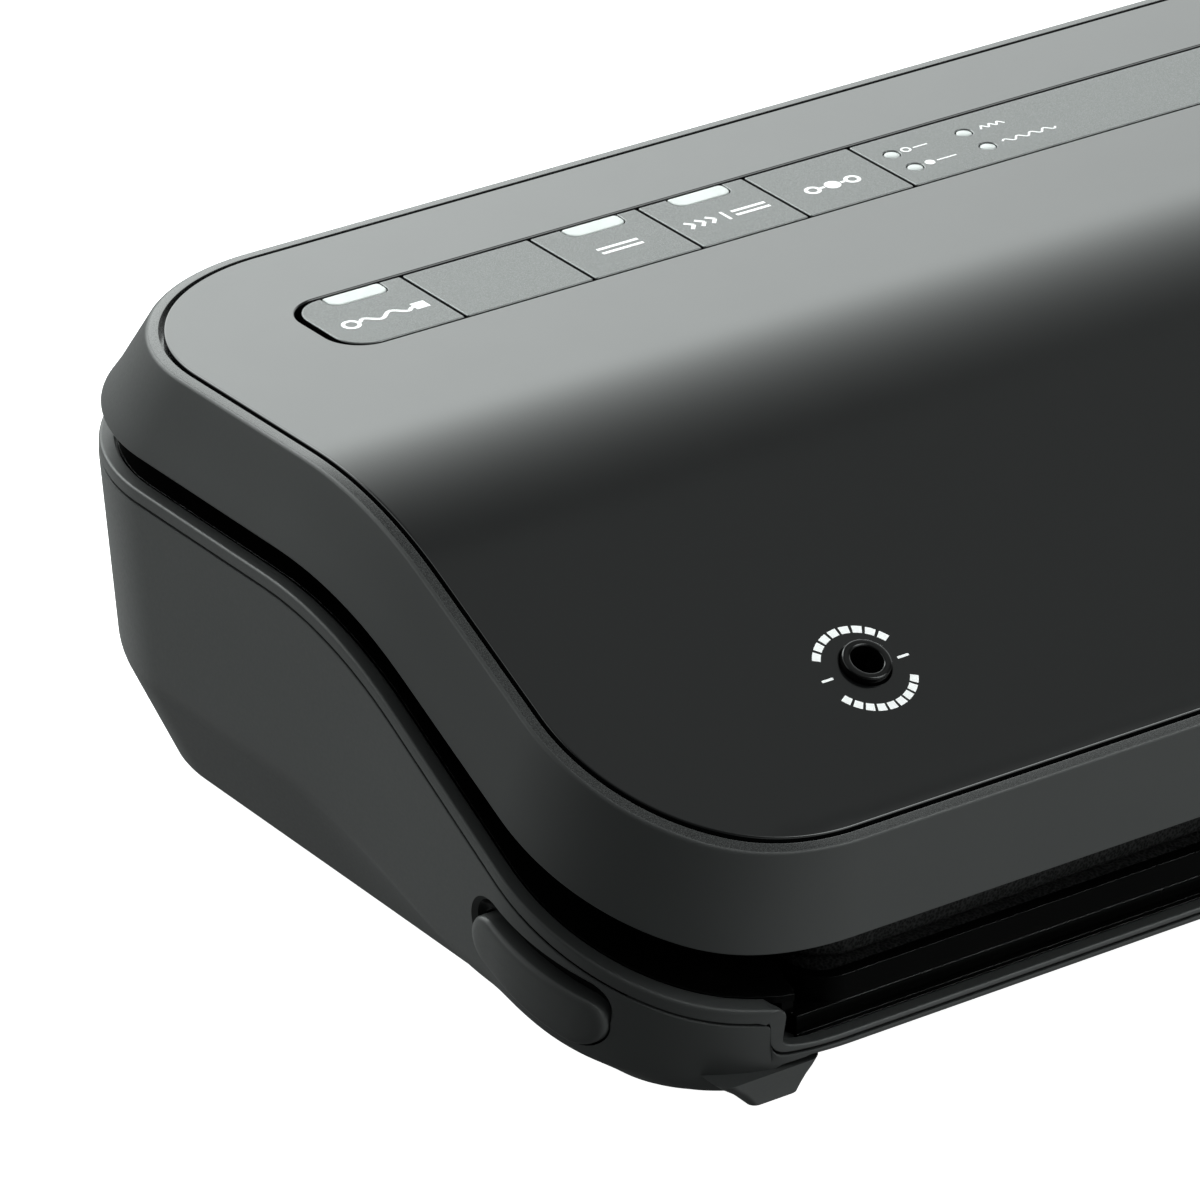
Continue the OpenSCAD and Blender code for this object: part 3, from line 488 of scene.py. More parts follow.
# ------------------------------------------------------------------ lid skirt with its rim strip
def lid_skirt():
    H = lambda y: zt(y) - zl(y)
    R = []

    def ring(a, e, z):
        R.append([(p[0], p[1], z(p[1])) for p in lidp(a, e)])
    ring(0, 0.5, lambda y: zl(y))
    ring(0, 0.14, lambda y: zl(y) + 0.14)
    ring(0, 0.0, lambda y: zl(y) + 0.5)
    for a in (0.25, 0.5, 0.75):
        ring(a, 0, lambda y, a=a: zl(y) + a * H(y))
    ring(0.965, 0.0, lambda y: zl(y) + 0.965 * H(y))
    ring(0.993, 0.08, lambda y: zl(y) + 0.988 * H(y))
    ring(1.0, 0.3, lambda y: zt(y) - 0.02)
    ring(1.0, 0.5, lambda y: zt(y) + 0.03)
    k = len(R)
    ring(1.0, RIM_W - 0.2, lambda y: zt(y) + 0.12)
    ring(1.0, RIM_W - 0.06, lambda y: zt(y) + 0.08)
    ring(1.0, RIM_W, lambda y: zt(y) - 0.08)
    ring(1.0, RIM_W, lambda y: zt(y) - PANEL_T)
    ring(1.0, RIM_W + 3, lambda y: zt(y) - PANEL_T)
    ring(1.0, RIM_W + 3, lambda y: zt(y) - PANEL_T - 2)
    ring(0.92, 2.4, lambda y: zt(y) - PANEL_T - 2.4)
    ring(0, 2.6, lambda y: zl(y))
    n = len(R[0])
    ob = new_mesh("lid_skirt_moulding", [v for r in R for v in r], ring_faces(R, True), 50)
    outward(ob)
    ob.data.materials.append(M_SKIRT)
    ob.data.materials.append(M_RIM)
    for p in ob.data.polygons:
        j = min(v // n for v in p.vertices)
        jj = sorted(set(v // n for v in p.vertices))
        if jj[0] >= k - 1 and jj[-1] <= k + 4 and not (jj[0] == 0):
            p.material_index = 1
    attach(ob, "lid")
    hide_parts("lid_shell")
    return ob


# ------------------------------------------------------------------ glossy panel
def inside(poly, x, y):
    c = False
    n = len(poly)
    j = n - 1
    for i in range(n):
        xi, yi = poly[i]
        xj, yj = poly[j]
        if (yi > y) != (yj > y) and x < (xj - xi) * (y - yi) / (yj - yi) + xi:
            c = not c
        j = i
    return c


def np_inside(poly, pts):
    P = np.array(poly)
    x, y = pts[:, 0], pts[:, 1]
    c = np.zeros(len(pts), bool)
    q = np.roll(P, 1, axis=0)
    for (xi, yi), (xj, yj) in zip(P, q):
        if yi == yj:
            continue
        m = ((yi > y) != (yj > y)) & (x < (xj - xi) * (y - yi) / (yj - yi) + xi)
        c ^= m
    return c


def strip_outline(e, n=20):
    w, d, r = STRIP_X + e, STRIP_D / 2 + e, 7 + e
    p = []
    for cx, cy, a0 in ((w - r, d - r, 0), (-(w - r), d - r, 90), (-(w - r), -(d - r), 180), (w - r, -(d - r), 270)):
        p += [(cx + r * math.cos(math.radians(a0 + 90 * i / n)), STRIP_Y + cy + r * math.sin(math.radians(a0 + 90 * i / n))) for i in range(n + 1)]
    out = []
    for i, a in enumerate(p):
        b_ = p[(i + 1) % len(p)]
        out.append(a)
        L = math.dist(a, b_)
        if L > 12:
            k = int(L / 12)
            out += [(mix(a[0], b_[0], j / k), mix(a[1], b_[1], j / k)) for j in range(1, k)]
    return out


def port_outline(r, n=72):
    c = math.cos(math.radians(SLOPE))
    return [(PORT_X + r * math.cos(2 * PI * i / n), PORT_Y + r * c * math.sin(2 * PI * i / n)) for i in range(n)]


def panel():
    E = RIM_W + 0.85
    fil = ((0.0, 0.42), (0.03, 0.25), (0.12, 0.11), (0.24, 0.03), (0.42, 0.0))   # inset, drop
    loops = []      # (rings from the bottom up, hole)
    outer = []
    for ins, dr in fil:
        outer.append([(p[0], p[1], zp(p[1]) - dr) for p in lidp(1, E + ins)])
    bot = [(p[0], p[1], zp(p[1]) - PANEL_T - 0.2) for p in lidp(1, E)]
    strip = []
    for ins, dr in fil:
        strip.append([(p[0], p[1], zp(p[1]) - dr) for p in strip_outline(0.3 + ins * 0.7)])
    sbot = [(p[0], p[1], zp(p[1]) - PANEL_T - 0.2) for p in strip_outline(0.3)]
    port = []
    for ins, dr in fil:
        port.append([(p[0], p[1], zp(p[1]) - dr) for p in port_outline(PORT_RO + 0.2 + ins * 0.7)])
    pbot = [(p[0], p[1], zp(p[1]) - PANEL_T - 0.2) for p in port_outline(PORT_RO + 0.2)]
    verts, faces, kind, anal = [], [], [], {}

    def put(r):
        b0 = len(verts)
        verts.extend(r)
        return b0

    def belt(rings, bottom, hole, sgn):
        idx = [put(bottom)] + [put(r) for r in rings]
        n = len(bottom)
        allr = [bottom] + list(rings)
        for j in range(len(allr) - 1):
            for i in range(n):
                q = (i + 1) % n
                f = (idx[j] + i, idx[j] + q, idx[j + 1] + q, idx[j + 1] + i)
                faces.append(f if sgn > 0 else f[::-1])
                kind.append(0 if j == 0 else 1)
        # normals along the fillet
        for k, r in enumerate(rings):
            th = k / (len(rings) - 1)
            for i in range(n):
                a, c2 = Vector(r[i - 1]), Vector(r[(i + 1) % n])
                t = (c2 - a).normalized()
                up = slope_normal(zp, r[i][1])
                side = t.cross(up).normalized() * sgn
                anal[idx[k + 1] + i] = (side * math.cos(th * PI / 2) + up * math.sin(th * PI / 2)).normalized()
        return idx

    io = belt(outer, bot, False, 1)
    is_ = belt(strip, sbot, True, -1)
    ip = belt(port, pbot, True, -1)
    # interior points
    inner_loops = [(io[-1], outer[-1]), (is_[-1], strip[-1]), (ip[-1], port[-1])]
    O = [(p[0], p[1]) for p in outer[-1]]
    S = [(p[0], p[1]) for p in strip[-1]]
    P = [(p[0], p[1]) for p in port[-1]]
    ys = []
    y = YF + 4
    while y < YR - 12:
        ys.append(y)
        n0, n1 = slope_normal(zp, y - 2), slope_normal(zp, y + 2)
        y += 0.9 if n0.angle(n1) > 0.002 else 4.0
    xs = np.arange(-192, 192.1, 8.0)
    G = np.array([(x + 0.37, yy) for yy in ys for x in xs])
    keep = np_inside(O, G) & ~np_inside(S, G) & ~np_inside(P, G)
    G = G[keep]
    bd = np.array(O + S + P)
    ok = []
    for g in G:
        d = np.min((bd[:, 0] - g[0]) ** 2 + ((bd[:, 1] - g[1]) * 1.0) ** 2)
        ok.append(d > 0.8 ** 2)
    G = G[np.array(ok)]
    co, ed, back = [], [], []
    for b0, r in inner_loops:
        s0 = len(co)
        for i, p in enumerate(r):
            co.append(Vector((p[0], p[1])))
            back.append(b0 + i)
            ed.append((s0 + i, s0 + (i + 1) % len(r)))
    for g in G:
        co.append(Vector((float(g[0]), float(g[1]))))
        back.append(None)
    vo, eo, fo, ov, oe, of_ = delaunay_2d_cdt(co, ed, [], 0, 1e-6)
    remap = {}
    for k, v in enumerate(vo):
        src = [s for s in ov[k] if back[s] is not None]
        if src:
            remap[k] = back[src[0]]
        else:
            remap[k] = len(verts)
            verts.append((v.x, v.y, zp(v.y)))
            anal[remap[k]] = slope_normal(zp, v.y)
    cen = np.array([((vo[a].x + vo[b_].x + vo[c_].x) / 3, (vo[a].y + vo[b_].y + vo[c_].y) / 3) for a, b_, c_ in fo])
    good = np_inside(O, cen) & ~np_inside(S, cen) & ~np_inside(P, cen)
    for g, f in zip(good, fo):
        if g:
            a, b_, c_ = (remap[i] for i in f)
            u, v, w = Vector(verts[a]), Vector(verts[b_]), Vector(verts[c_])
            if (v - u).cross(w - u).z < 0:
                b_, c_ = c_, b_
            faces.append((a, b_, c_))
            kind.append(1)
    # underside: the same triangles, lowered, joined to the bottom rings
    low = {}
    for k_, (b0, n_) in enumerate(((io[0], len(bot)), (is_[0], len(sbot)), (ip[0], len(pbot)))):
        top0 = (io[-1], is_[-1], ip[-1])[k_]
        for i in range(n_):
            low[top0 + i] = b0 + i
    under = []
    for f, kd in list(zip(faces, kind)):
        if len(f) == 3:
            g = []
            for i in f:
                if i not in low:
                    low[i] = len(verts)
                    v = verts[i]
                    verts.append((v[0], v[1], v[2] - PANEL_T - 0.2))
                g.append(low[i])
            under.append((g[0], g[2], g[1]))
    faces.extend(under)
    kind.extend([0] * len(under))
    me = bpy.data.meshes.new("glossy_lid_panel")
    me.from_pydata([Vector(v) * MM for v in verts], [], faces)
    me.update()
    nl = [None] * len(me.loops)
    for p, kd in zip(me.polygons, kind):
        p.use_smooth = True
        for li in p.loop_indices:
            vi = me.loops[li].vertex_index
            nl[li] = anal[vi] if kd == 1 and vi in anal else p.normal.copy()
    me.normals_split_custom_set([tuple(v) for v in nl])
    ob = bpy.data.objects.new("glossy_lid_panel", me)
    bpy.context.scene.collection.objects.link(ob)
    paint(ob, M_PANEL)
    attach(ob, "lid")
    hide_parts("lid_panel")
    return ob


# ------------------------------------------------------------------ base
def front_y(x, e):
    """y of the base outline at inset e, at |x| on the front corner"""
    xh, f, rx, ry = BXH - e, BYF + e, BFX - e, BFY - e
    u = min(1.0, max(0.0, (abs(x) - (xh - rx)) / rx))
    return f + ry - ry * math.sqrt(1 - u * u)


def bpath(e, notch, z0, z1, lean=None):
    """half outline of the base at inset e as (x, y, z): height z0(y) round to the notch points, then z1 across the front"""
    xh, f, r, rx, ry, rr = BXH - e, BYF + e, BYR - e, BFX - e, BFY - e, BRR - e
    na, ns = 48, 170
    p = [(-(xh - rr) * i / 6, r, z0(r)) for i in range(6)]
    p += [(-(xh - rr) - rr * math.sin(t), r - rr + rr * math.cos(t), z0(r - rr + rr * math.cos(t))) for t in [PI / 2 * i / na for i in range(na + 1)]]
    for i in range(1, ns):
        y = mix(r - rr, f + ry, i / ns)
        p.append((-xh, y, z0(y)))
    t0 = math.acos(min(1, (-notch[0][0] - (xh - rx)) / rx))
    for i in range(40):
        t = t0 * i / 40
        y = f + ry - ry * math.sin(t)
        p.append((-(xh - rx) - rx * math.cos(t), y, z0(y)))
    for x, z in notch:
        p.append((x, front_y(x, e), z))
    t1 = math.acos(min(1, max(0, (-notch[-1][0] - (xh - rx)) / rx)))
    for i in range(1, 13):
        t = mix(t1, PI / 2, i / 12)
        p.append((-(xh - rx) - rx * math.cos(t), f + ry - ry * math.sin(t), z1))
    p += [(-(xh - rx) * (1 - i / 6), f, z1) for i in range(1, 7)]
    return p


UP = [(-169.6, None), (-169.0, 17.05), (-168.7, 16.85), (-168.6, 16.5), (-168.75, 15.2), (-169.0, 13.6), (-169.15, 12.4), (-169.05, 11.6), (-168.6, 10.95),
      (-167.9, 10.6), (-166.9, 10.38), (-165.6, 10.2), (-164.0, 10.1)]
LO = [(-172.0, None), (-171.5, 14.85), (-171.3, 14.6), (-171.2, 14.1), (-171.2, 13.0), (-171.2, 11.8), (-171.1, 10.9), (-170.75, 10.15), (-170.2, 9.55),
      (-169.4, 9.15), (-168.4, 8.98), (-167.0, 8.92), (-165.0, 8.9)]


def notch(path, zf, dz=0.0, dx=0.0):
    out = []
    for x, z in path:
        if z is None:
            z = zf(front_y(x, 0)) - dz
        out.append((x + dx, z + dz))
    return out


def zbt(y):
    if y >= 8:
        return 24.4
    if y >= -50:
        return mix(24.4, 13.5, smooth((8 - y) / 58))
    if y >= -82:
        return mix(13.5, 7.2, smooth((-50 - y) / 30))
    return 7.2


def whole3(h):
    return h + [(-p[0], p[1], p[2]) for p in h[-2:0:-1]]


def rim():
    R = []
    up = lambda y: zb(y) + RIM_H
    lo = lambda y: zb(y)

    def low(e, d, zfr=None):
        R.append(whole3(bpath(e, notch(LO, lo, d), lambda y: lo(y) + d, 8.9 + d if zfr is None else zfr)))

    def top(e, d, zfr=None):
        R.append(whole3(bpath(e, notch(UP, up, d), lambda y: up(y) + d, 10.05 + d if zfr is None else zfr)))
    low(0.35, 0.22)
    low(0.12, 0.30)
    low(0.05, 0.5)
    top(0.08, -0.55)
    top(0.16, -0.22)
    top(0.38, -0.04)
    top(0.7, 0.0)
    top(2.6, 0.0)
    top(2.85, -0.08)
    top(2.9, -0.3)
    top(2.9, -1.6, 9.22)
    low(5.6, 0.9, 9.2)
    low(5.6, 0.22, 9.02)
    ob = new_mesh("base_rim_moulding", [v for r in R for v in r], ring_faces(R, True), 60)
    outward(ob)
    paint(ob, M_BASE)
    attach(ob, "base")
    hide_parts("base_rim")
    return ob


def lean(y, z):
    return max(0.0, zb(y) - z) * math.tan(math.radians(3.5))


def wall_x(y, z):
    """x of the left wall of the tub at y, z"""
    f, r = BYF, BYR
    if y < f + BFY:
        u = (f + BFY - y) / BFY
        x = (BXH - BFX) + BFX * math.sqrt(max(0, 1 - u * u))
    elif y > r - BRR:
        u = (y - r + BRR) / BRR
        x = (BXH - BRR) + BRR * math.sqrt(max(0, 1 - u * u))
    else:
        x = BXH
    d = lean(y, z)
    return -x * (BXH - d) / BXH


def tub():
    groove = lambda y: zb(y)
    P0 = bpath(0, notch(LO, groove), groove, 8.9)
    n = len(P0)
    nfront = 12 + 6
    front0 = n - nfront - 9         # points from here on run under the front lip

    def lowered(p, z):
        d = lean(p[1], z)
        return (p[0] * (BXH - d) / BXH, p[1] * (BYR - d) / BYR if p[1] > 0 else p[1] * (1 - 0.5 * d / 95), z)
    R = []
    R.append([(p[0], p[1], p[2] - 0.2) for p in bpath(0.3, notch(LO, groove), groove, 8.9)])
    R.append([(p[0], p[1], p[2] - 0.26) for p in bpath(0.09, notch(LO, groove), groove, 8.9)])
    R.append([(p[0], p[1], p[2] - 0.5) for p in P0])
    # bottom ring with matching indices
    hb = []
    xb, fb, rb, rxb, rrb = 188.3, -93.4, 83.8, 22.0, 31.3
    for i, p in enumerate(P0):
        if i < 6:
            hb.append((-(xb - rrb) * i / 6, rb, 3.0))
        elif i < 6 + 49:
            t = PI / 2 * (i - 6) / 48
            hb.append((-(xb - rrb) - rrb * math.sin(t), rb - rrb + rrb * math.cos(t), 3.0))
        elif i < 6 + 49 + 169:
            hb.append((-xb, mix(rb - rrb, fb + rxb, (i - 54) / 170), 3.0))
        elif i < n - nfront:
            k = i - (6 + 49 + 169)
            m = n - nfront - (6 + 49 + 169)
            t = PI / 2 * 0.93 * k / (m - 1)
            hb.append((-(xb - rxb) - rxb * math.cos(t), fb + rxb - rxb * math.sin(t), 3.0))
        else:
            k = i - (n - nfront) + 1
            x = -(xb - rxb) - rxb * math.cos(PI / 2 * 0.93)
            hb.append((x * (1 - k / nfront), fb, 3.0))
    # height of the floor: up under the front lip between the legs
    def floor_z(x):
        return mix(3.0, 7.5, smooth((176.5 - abs(x)) / 9.0)) if abs(x) < 176.5 else 3.0
    hb = [(x, y, 3.0 if y > -80 else floor_z(x)) for x, y, z in hb]

    def brk(i):
        p = P0[i]
        z = max(zbt(p[1]), 3.9)
        if i >= front0:
            z = min(z, P0[i][2] - 0.9)
            z = max(z, hb[i][2] + 0.25)
        z = min(z, p[2] - 1.0)
        return lowered(p, z)
    B = [brk(i) for i in range(n)]
    # wall, then a small radius at the break line, then the chamfer
    up_dir, dn_dir = [], []
    for i in range(n):
        a, b_, c_ = Vector(R[2][i]), Vector(B[i]), Vector(hb[i])
        up_dir.append((a - b_).normalized() if (a - b_).length > 1e-6 else Vector((0, 0, 1)))
        dn_dir.append((c_ - b_).normalized() if (c_ - b_).length > 1e-6 else Vector((0, 0, -1)))
    for s in (0.33, 0.66):
        R.append([tuple(Vector(R[2][i]).lerp(Vector(B[i]) + up_dir[i] * min(2.2, 0.4 * (Vector(R[2][i]) - Vector(B[i])).length), s)) for i in range(n)])
    r_ = [min(2.2, 0.4 * (Vector(R[2][i]) - Vector(B[i])).length, 0.4 * (Vector(hb[i]) - Vector(B[i])).length) for i in range(n)]
    for t in (0.0, 0.2, 0.4, 0.6, 0.8, 1.0):
        R.append([tuple(((1 - t) ** 2) * (Vector(B[i]) + up_dir[i] * r_[i]) + 2 * t * (1 - t) * Vector(B[i]) + t * t * (Vector(B[i]) + dn_dir[i] * r_[i])) for i in range(n)])
    A = R[-1]
    R.append([tuple(Vector(A[i]).lerp(Vector(hb[i]), 0.5)) for i in range(n)])
    r2 = [min(1.2, 0.3 * (Vector(hb[i]) - Vector(A[i])).length) for i in range(n)]
    inner = [(x * 0.93, mix(y, -4.8, 0.17), z) for x, y, z in hb]
    for t in (0.0, 0.35, 0.7, 1.0):
        R.append([tuple(((1 - t) ** 2) * (Vector(hb[i]) - dn_dir[i] * r2[i]) + 2 * t * (1 - t) * Vector(hb[i]) + t * t * (Vector(hb[i]).lerp(Vector(inner[i]), min(1, r2[i] / 12)))) for i in range(n)])
    R.append([(x, y, mix(z, 3.0, 0.0)) for x, y, z in inner])
    R.append([(x * 0.5, mix(y, -4.8, 0.5), 3.0) for x, y, z in inner])
    R.append([(x * 0.02, mix(y, -4.8, 0.98), 3.0) for x, y, z in inner])
    R.append([(x * 0.02, mix(y, -4.8, 0.98), 5.6) for x, y, z in inner])
    R.append([(x, y, max(5.6, z + 0.4)) for x, y, z in inner])
    w = 3.0
    PI_ = bpath(w, notch(LO, groove), groove, 8.9)
    R.append([(p[0] * 0.985, p[1] * 0.985, max(hb[i][2] + 0.6, min(zbt(p[1]) + 1.5, p[2] - 1.2))) for i, p in enumerate(PI_)])
    R.append([(p[0], p[1], p[2] - 0.2) for p in PI_])
    R = [whole3(r) for r in R]
    ob = new_mesh("base_tub_moulding", [v for r in R for v in r], ring_faces(R, True), 60, weighted=False)
    outward(ob)
    return ob


def stadium(r, up=0.0, n=28):
    """outline of the release button in the (y, z) plane, counter-clockwise seen from the left"""
    (y0, z0), (y1, z1) = REL
    d = Vector((y0 - y1, z0 - z1)).normalized()
    a0 = math.atan2(d.y, d.x)
    arcs = [[(c[0] + r * math.cos(s + PI * i / n), c[1] + up + r * math.sin(s + PI * i / n)) for i in range(n + 1)]
            for c, s in (((y0, z0), a0 - PI / 2), ((y1, z1), a0 + PI / 2))]

    def run(a, b_, k=18):
        return [(mix(a[0], b_[0], j / k), mix(a[1], b_[1], j / k)) for j in range(1, k)]
    h = n // 2
    return arcs[0][h:] + run(arcs[0][-1], arcs[1][0]) + arcs[1] + run(arcs[1][-1], arcs[0][0]) + arcs[0][:h]


def stadium_cap(b0, n):
    """faces across a stadium ring whose first point is an apex"""
    q = [(b0, b0 + 1, b0 + n - 1)]
    q += [(b0 + i, b0 + i + 1, b0 + n - i - 1, b0 + n - i) for i in range(1, n // 2 - 1)]
    return q + [(b0 + n // 2 - 1, b0 + n // 2, b0 + n // 2 + 1)]


def pad_mesh(name, r, up, prof, side, depth_face):
    """a stadium whose face follows the tub wall: prof is [(inset, outward)], depth_face the inner end"""
    R = []
    base = stadium(r, up)
    R.append([(depth_face, y, z) for y, z in base])
    for ins, h in prof:
        rr = max(r - ins, 0.02)
        q = stadium(rr, up)
        R.append([(wall_x(y, z) - h, y, z) for y, z in q])
    verts = [v for ring in R for v in ring]
    n = len(base)
    faces = ring_faces(R)
    faces.append(tuple(range(n))[::-1])
    faces += stadium_cap((len(R) - 1) * n, n)
    if side > 0:
        verts = [(-x, y, z) for x, y, z in verts]
    ob = new_mesh(name, verts, faces, 50, weighted=False)
    outward(ob)
    return ob


def leg_mesh(side):
    """moulded front leg that grows out of the tub's front corner"""
    R = []
    prof = ((0.0, 0.0), (0.12, 0.25), (0.5, 0.9), (1.2, 2.0), (2.2, 3.4), (3.6, 5.0), (4.6, 6.4))
    for k, (g, z) in enumerate(prof):
        x0, x1 = -174.3 - g * 1.6, -164.8 + g * 0.85
        y0, y1 = -92.5 - g * 0.35, -84.0 + g * 0.5
        rr = 1.4 + 0.3 * g
        ring = []
        for cx, cy, a0 in ((x1 - rr, y1 - rr, 0), (x0 + rr, y1 - rr, 90), (x0 + rr, y0 + rr, 180), (x1 - rr, y0 + rr, 270)):
            for i in range(9):
                t = math.radians(a0 + 90 * i / 8)
                ring.append((cx + rr * math.cos(t), cy + rr * math.sin(t), z))
        R.append(ring)
    n = len(R[0])
    b0 = [(mix(x, -168.7, 0.09), mix(y, -87.5, 0.09), 0.0) for x, y, z in R[0]]
    R[0] = [(x, y, 0.35) for x, y, z in R[0]]
    mid = [(mix(x, -168.7, 0.025), mix(y, -87.5, 0.025), 0.1) for x, y, z in R[0]]
    R = [b0, mid] + R
    verts = [v for r in R for v in r]
    faces = ring_faces(R)
    faces.append(tuple(range(n))[::-1])
    faces.append(tuple(range((len(R) - 1) * n, len(R) * n)))
    if side > 0:
        verts = [(-x, y, z) for x, y, z in verts]
    ob = new_mesh("leg", verts, faces, 0, weighted=False)
    outward(ob)
    return ob


def build_base():
    t = tub()
    for s in (-1, 1):
        cut(t, leg_mesh(s), "UNION")
    for s in (-1, 1):
        # recess above the button, then the button's own opening
        sc = scoop_mesh(s)
        cut(t, sc, "DIFFERENCE")
        hole = pad_mesh("hole", REL_R + 0.4, 0, ((0.0, 6.0), (REL_R + 0.38, 6.0)), s, -190.0)
        cut(t, hole, "DIFFERENCE")
    # mains inlet
    bm = bmesh.new()
    bmesh.ops.create_cube(bm, size=1.0, matrix=Matrix.Translation((0.130, 0.090, 0.032)) @ Matrix.Diagonal((0.022, 0.02, 0.012, 1)))
    me = bpy.data.meshes.new("inlet_cut")
    bm.to_mesh(me)
    bm.free()
    c = bpy.data.objects.new("inlet_cut", me)
    bpy.context.scene.collection.objects.link(c)
    cut(t, c, "DIFFERENCE")
    for p in t.data.polygons:
        p.use_smooth = True
    t.data.set_sharp_from_angle(angle=math.radians(38))
    m = t.modifiers.new("wn", "WEIGHTED_NORMAL")
    m.keep_sharp = True
    m.weight = 100
    paint(t, M_BASE)
    t.data.materials.append(M_INNER)
    # faces sunk deeper than 0.85 mm into the wall round each release button take the black inner material: painted
    # shade in the recess above the button
    for p in t.data.polygons:
        c_ = p.center / MM
        if abs(c_.x) > 190 and -84 < c_.y < -44 and 10 < c_.z < 31 and abs(c_.x) < -wall_x(c_.y, c_.z) - 0.85:
            p.material_index = 1
    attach(t, "base")
    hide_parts("base_tub")
    return t


def scoop_mesh(side):
    """closed cutter: outside the wall at one end, a shallow bowl under the wall at the other"""
    r, up = 5.7, 2.6
    R = []
    q = stadium(r, up)
    R.append([(-207.0, y, z) for y, z in q])
    for ins, h in ((0.0, 0.05), (0.3, -0.3), (0.8, -0.8), (1.3, -1.3), (1.9, -1.8), (3.0, -2.1), (4.4, -2.2), (r - 0.03, -2.25)):
        q = stadium(max(r - ins, 0.02), up)
        R.append([(wall_x(y, z) - h, y, z) for y, z in q])
    n = len(R[0])
    verts = [v for ring in R for v in ring]
    faces = ring_faces(R)
    faces.append(tuple(range(n))[::-1])
    faces += stadium_cap((len(R) - 1) * n, n)
    if side > 0:
        verts = [(-x, y, z) for x, y, z in verts]
    ob = new_mesh("scoop", verts, faces, 0, weighted=False)
    outward(ob)
    return ob


def buttons():
    prof = ((0.0, -1.0), (0.0, 0.25), (0.1, 0.6), (0.35, 0.93), (0.8, 1.16), (1.6, 1.3), (3.0, 1.36), (REL_R - 0.05, 1.38))
    for s, side in ((-1, "left"), (1, "right")):
        ob = pad_mesh("release_button_" + side, REL_R, 0, prof, s, -187.0)
        bm = bmesh.new()
        bm.from_mesh(ob.data)
        # flange behind the wall, then the pawl that reaches the latch
        base = stadium(REL_R + 1.3)
        sx = 1 if s > 0 else -1
        a_ = [bm.verts.new(Vector((sx * 187.2, y, z)) * MM) for y, z in base]
        c_ = [bm.verts.new(Vector((sx * 185.4, y, z)) * MM) for y, z in base]
        bm.faces.new(a_)
        bm.faces.new(c_[::-1])
        for i in range(len(base)):
            bm.faces.new((a_[i], c_[i], c_[(i + 1) % len(base)], a_[(i + 1) % len(base)]))
        for x0, x1, y0, y1, z0, z1 in ((177.2, 186.2, -66, -58, 15, 22), (179.5, 185.5, -66, -58, 20, 27.5)):
            r_ = bmesh.ops.create_cube(bm, size=1.0, matrix=Matrix.Translation(Vector((sx * (x0 + x1) / 2, (y0 + y1) / 2, (z0 + z1) / 2)) * MM) @ Matrix.Diagonal(((x1 - x0) * MM, (y1 - y0) * MM, (z1 - z0) * MM, 1)))
            es = list({e_ for v_ in r_["verts"] for e_ in v_.link_edges})
            bmesh.ops.bevel(bm, geom=es, offset=0.0004, segments=2, affect="EDGES")
        bmesh.ops.recalc_face_normals(bm, faces=bm.faces)
        bm.to_mesh(ob.data)
        bm.free()
        for p_ in ob.data.polygons:
            p_.use_smooth = True
        ob.data.set_sharp_from_angle(angle=math.radians(40))
        m = ob.modifiers.new("wn", "WEIGHTED_NORMAL")
        m.keep_sharp = True
        paint(ob, M_BASE)
        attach(ob, side + "_release")
        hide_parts("release_" + side)


# ------------------------------------------------------------------ foam gaskets
def loop_outline(x, y0, y1, r, n=14):
    p = []
    for cx, cy, a0 in ((x - r, y1 - r, 0), (-(x - r), y1 - r, 90), (-(x - r), y0 + r, 180), (x - r, y0 + r, 270)):
        p += [(cx + r * math.cos(math.radians(a0 + 90 * i / n)), cy + r * math.sin(math.radians(a0 + 90 * i / n))) for i in range(n + 1)]
    out = []
    for i, a in enumerate(p):
        b_ = p[(i + 1) % len(p)]
        out.append(a)
        L = math.dist(a, b_)
        if L > 6:
            k = int(L / 6)
            out += [(mix(a[0], b_[0], j / k), mix(a[1], b_[1], j / k)) for j in range(1, k)]
    return out


def foam(name, nodename, body, bead_up):
    lo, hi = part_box(nodename)
    x, y0, y1 = hi.x / MM, lo.y / MM, hi.y / MM
    z0, z1 = lo.z / MM, hi.z / MM
    w, r = 6.4, 10.0
    h = z1 - z0
    # section: rounded on the free side, square where it is glued
    pts = []
    k = 10
    for i in range(k + 1):
        t = PI * i / k
        u = w / 2 - (w / 2 - 0.15) * math.cos(t)
        v = h - 1.6 + 1.6 * math.sin(t) ** 0.7
        pts.append((u, v))
    pts = [(0.05, 0.0)] + pts + [(w - 0.05, 0.0)]
    R = []
    n_pts = None
    for u, v in pts:
        o = loop_outline(x - u, y0 + u, y1 - u, max(r - u, 0.8))
        if n_pts is None:
            n_pts = len(o)
        R.append((u, v))
    # outline with a constant point count
    def ring(u, v):
        rr = max(r - u, 0.8)
        X, Y0, Y1 = x - u, y0 + u, y1 - u
        p = []
        for (cx, cy, a0), L in zip(((X - rr, Y1 - rr, 0), (-(X - rr), Y1 - rr, 90), (-(X - rr), Y0 + rr, 180), (X - rr, Y0 + rr, 270)), (60, 8, 60, 8)):
            arc = [(cx + rr * math.cos(math.radians(a0 + 90 * i / 14)), cy + rr * math.sin(math.radians(a0 + 90 * i / 14))) for i in range(15)]
            p += arc
            nx = {0: (-(X - rr), Y1), 90: (-X, Y0 + rr), 180: (X - rr, Y0), 270: (X, Y1 - rr)}[a0]
            last = arc[-1]
            p += [(mix(last[0], nx[0], j / L), mix(last[1], nx[1], j / L)) for j in range(1, L)]
        z = z0 + v if bead_up else z1 - v
        return [(a, b_, z) for a, b_ in p]
    RR = [ring(u, v) for u, v in R]
    ob = new_mesh(name, [v for q in RR for v in q], ring_faces(RR, True), 60)
    outward(ob)
    paint(ob, M_FOAM)
    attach(ob, body)
    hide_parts(nodename)
    return ob


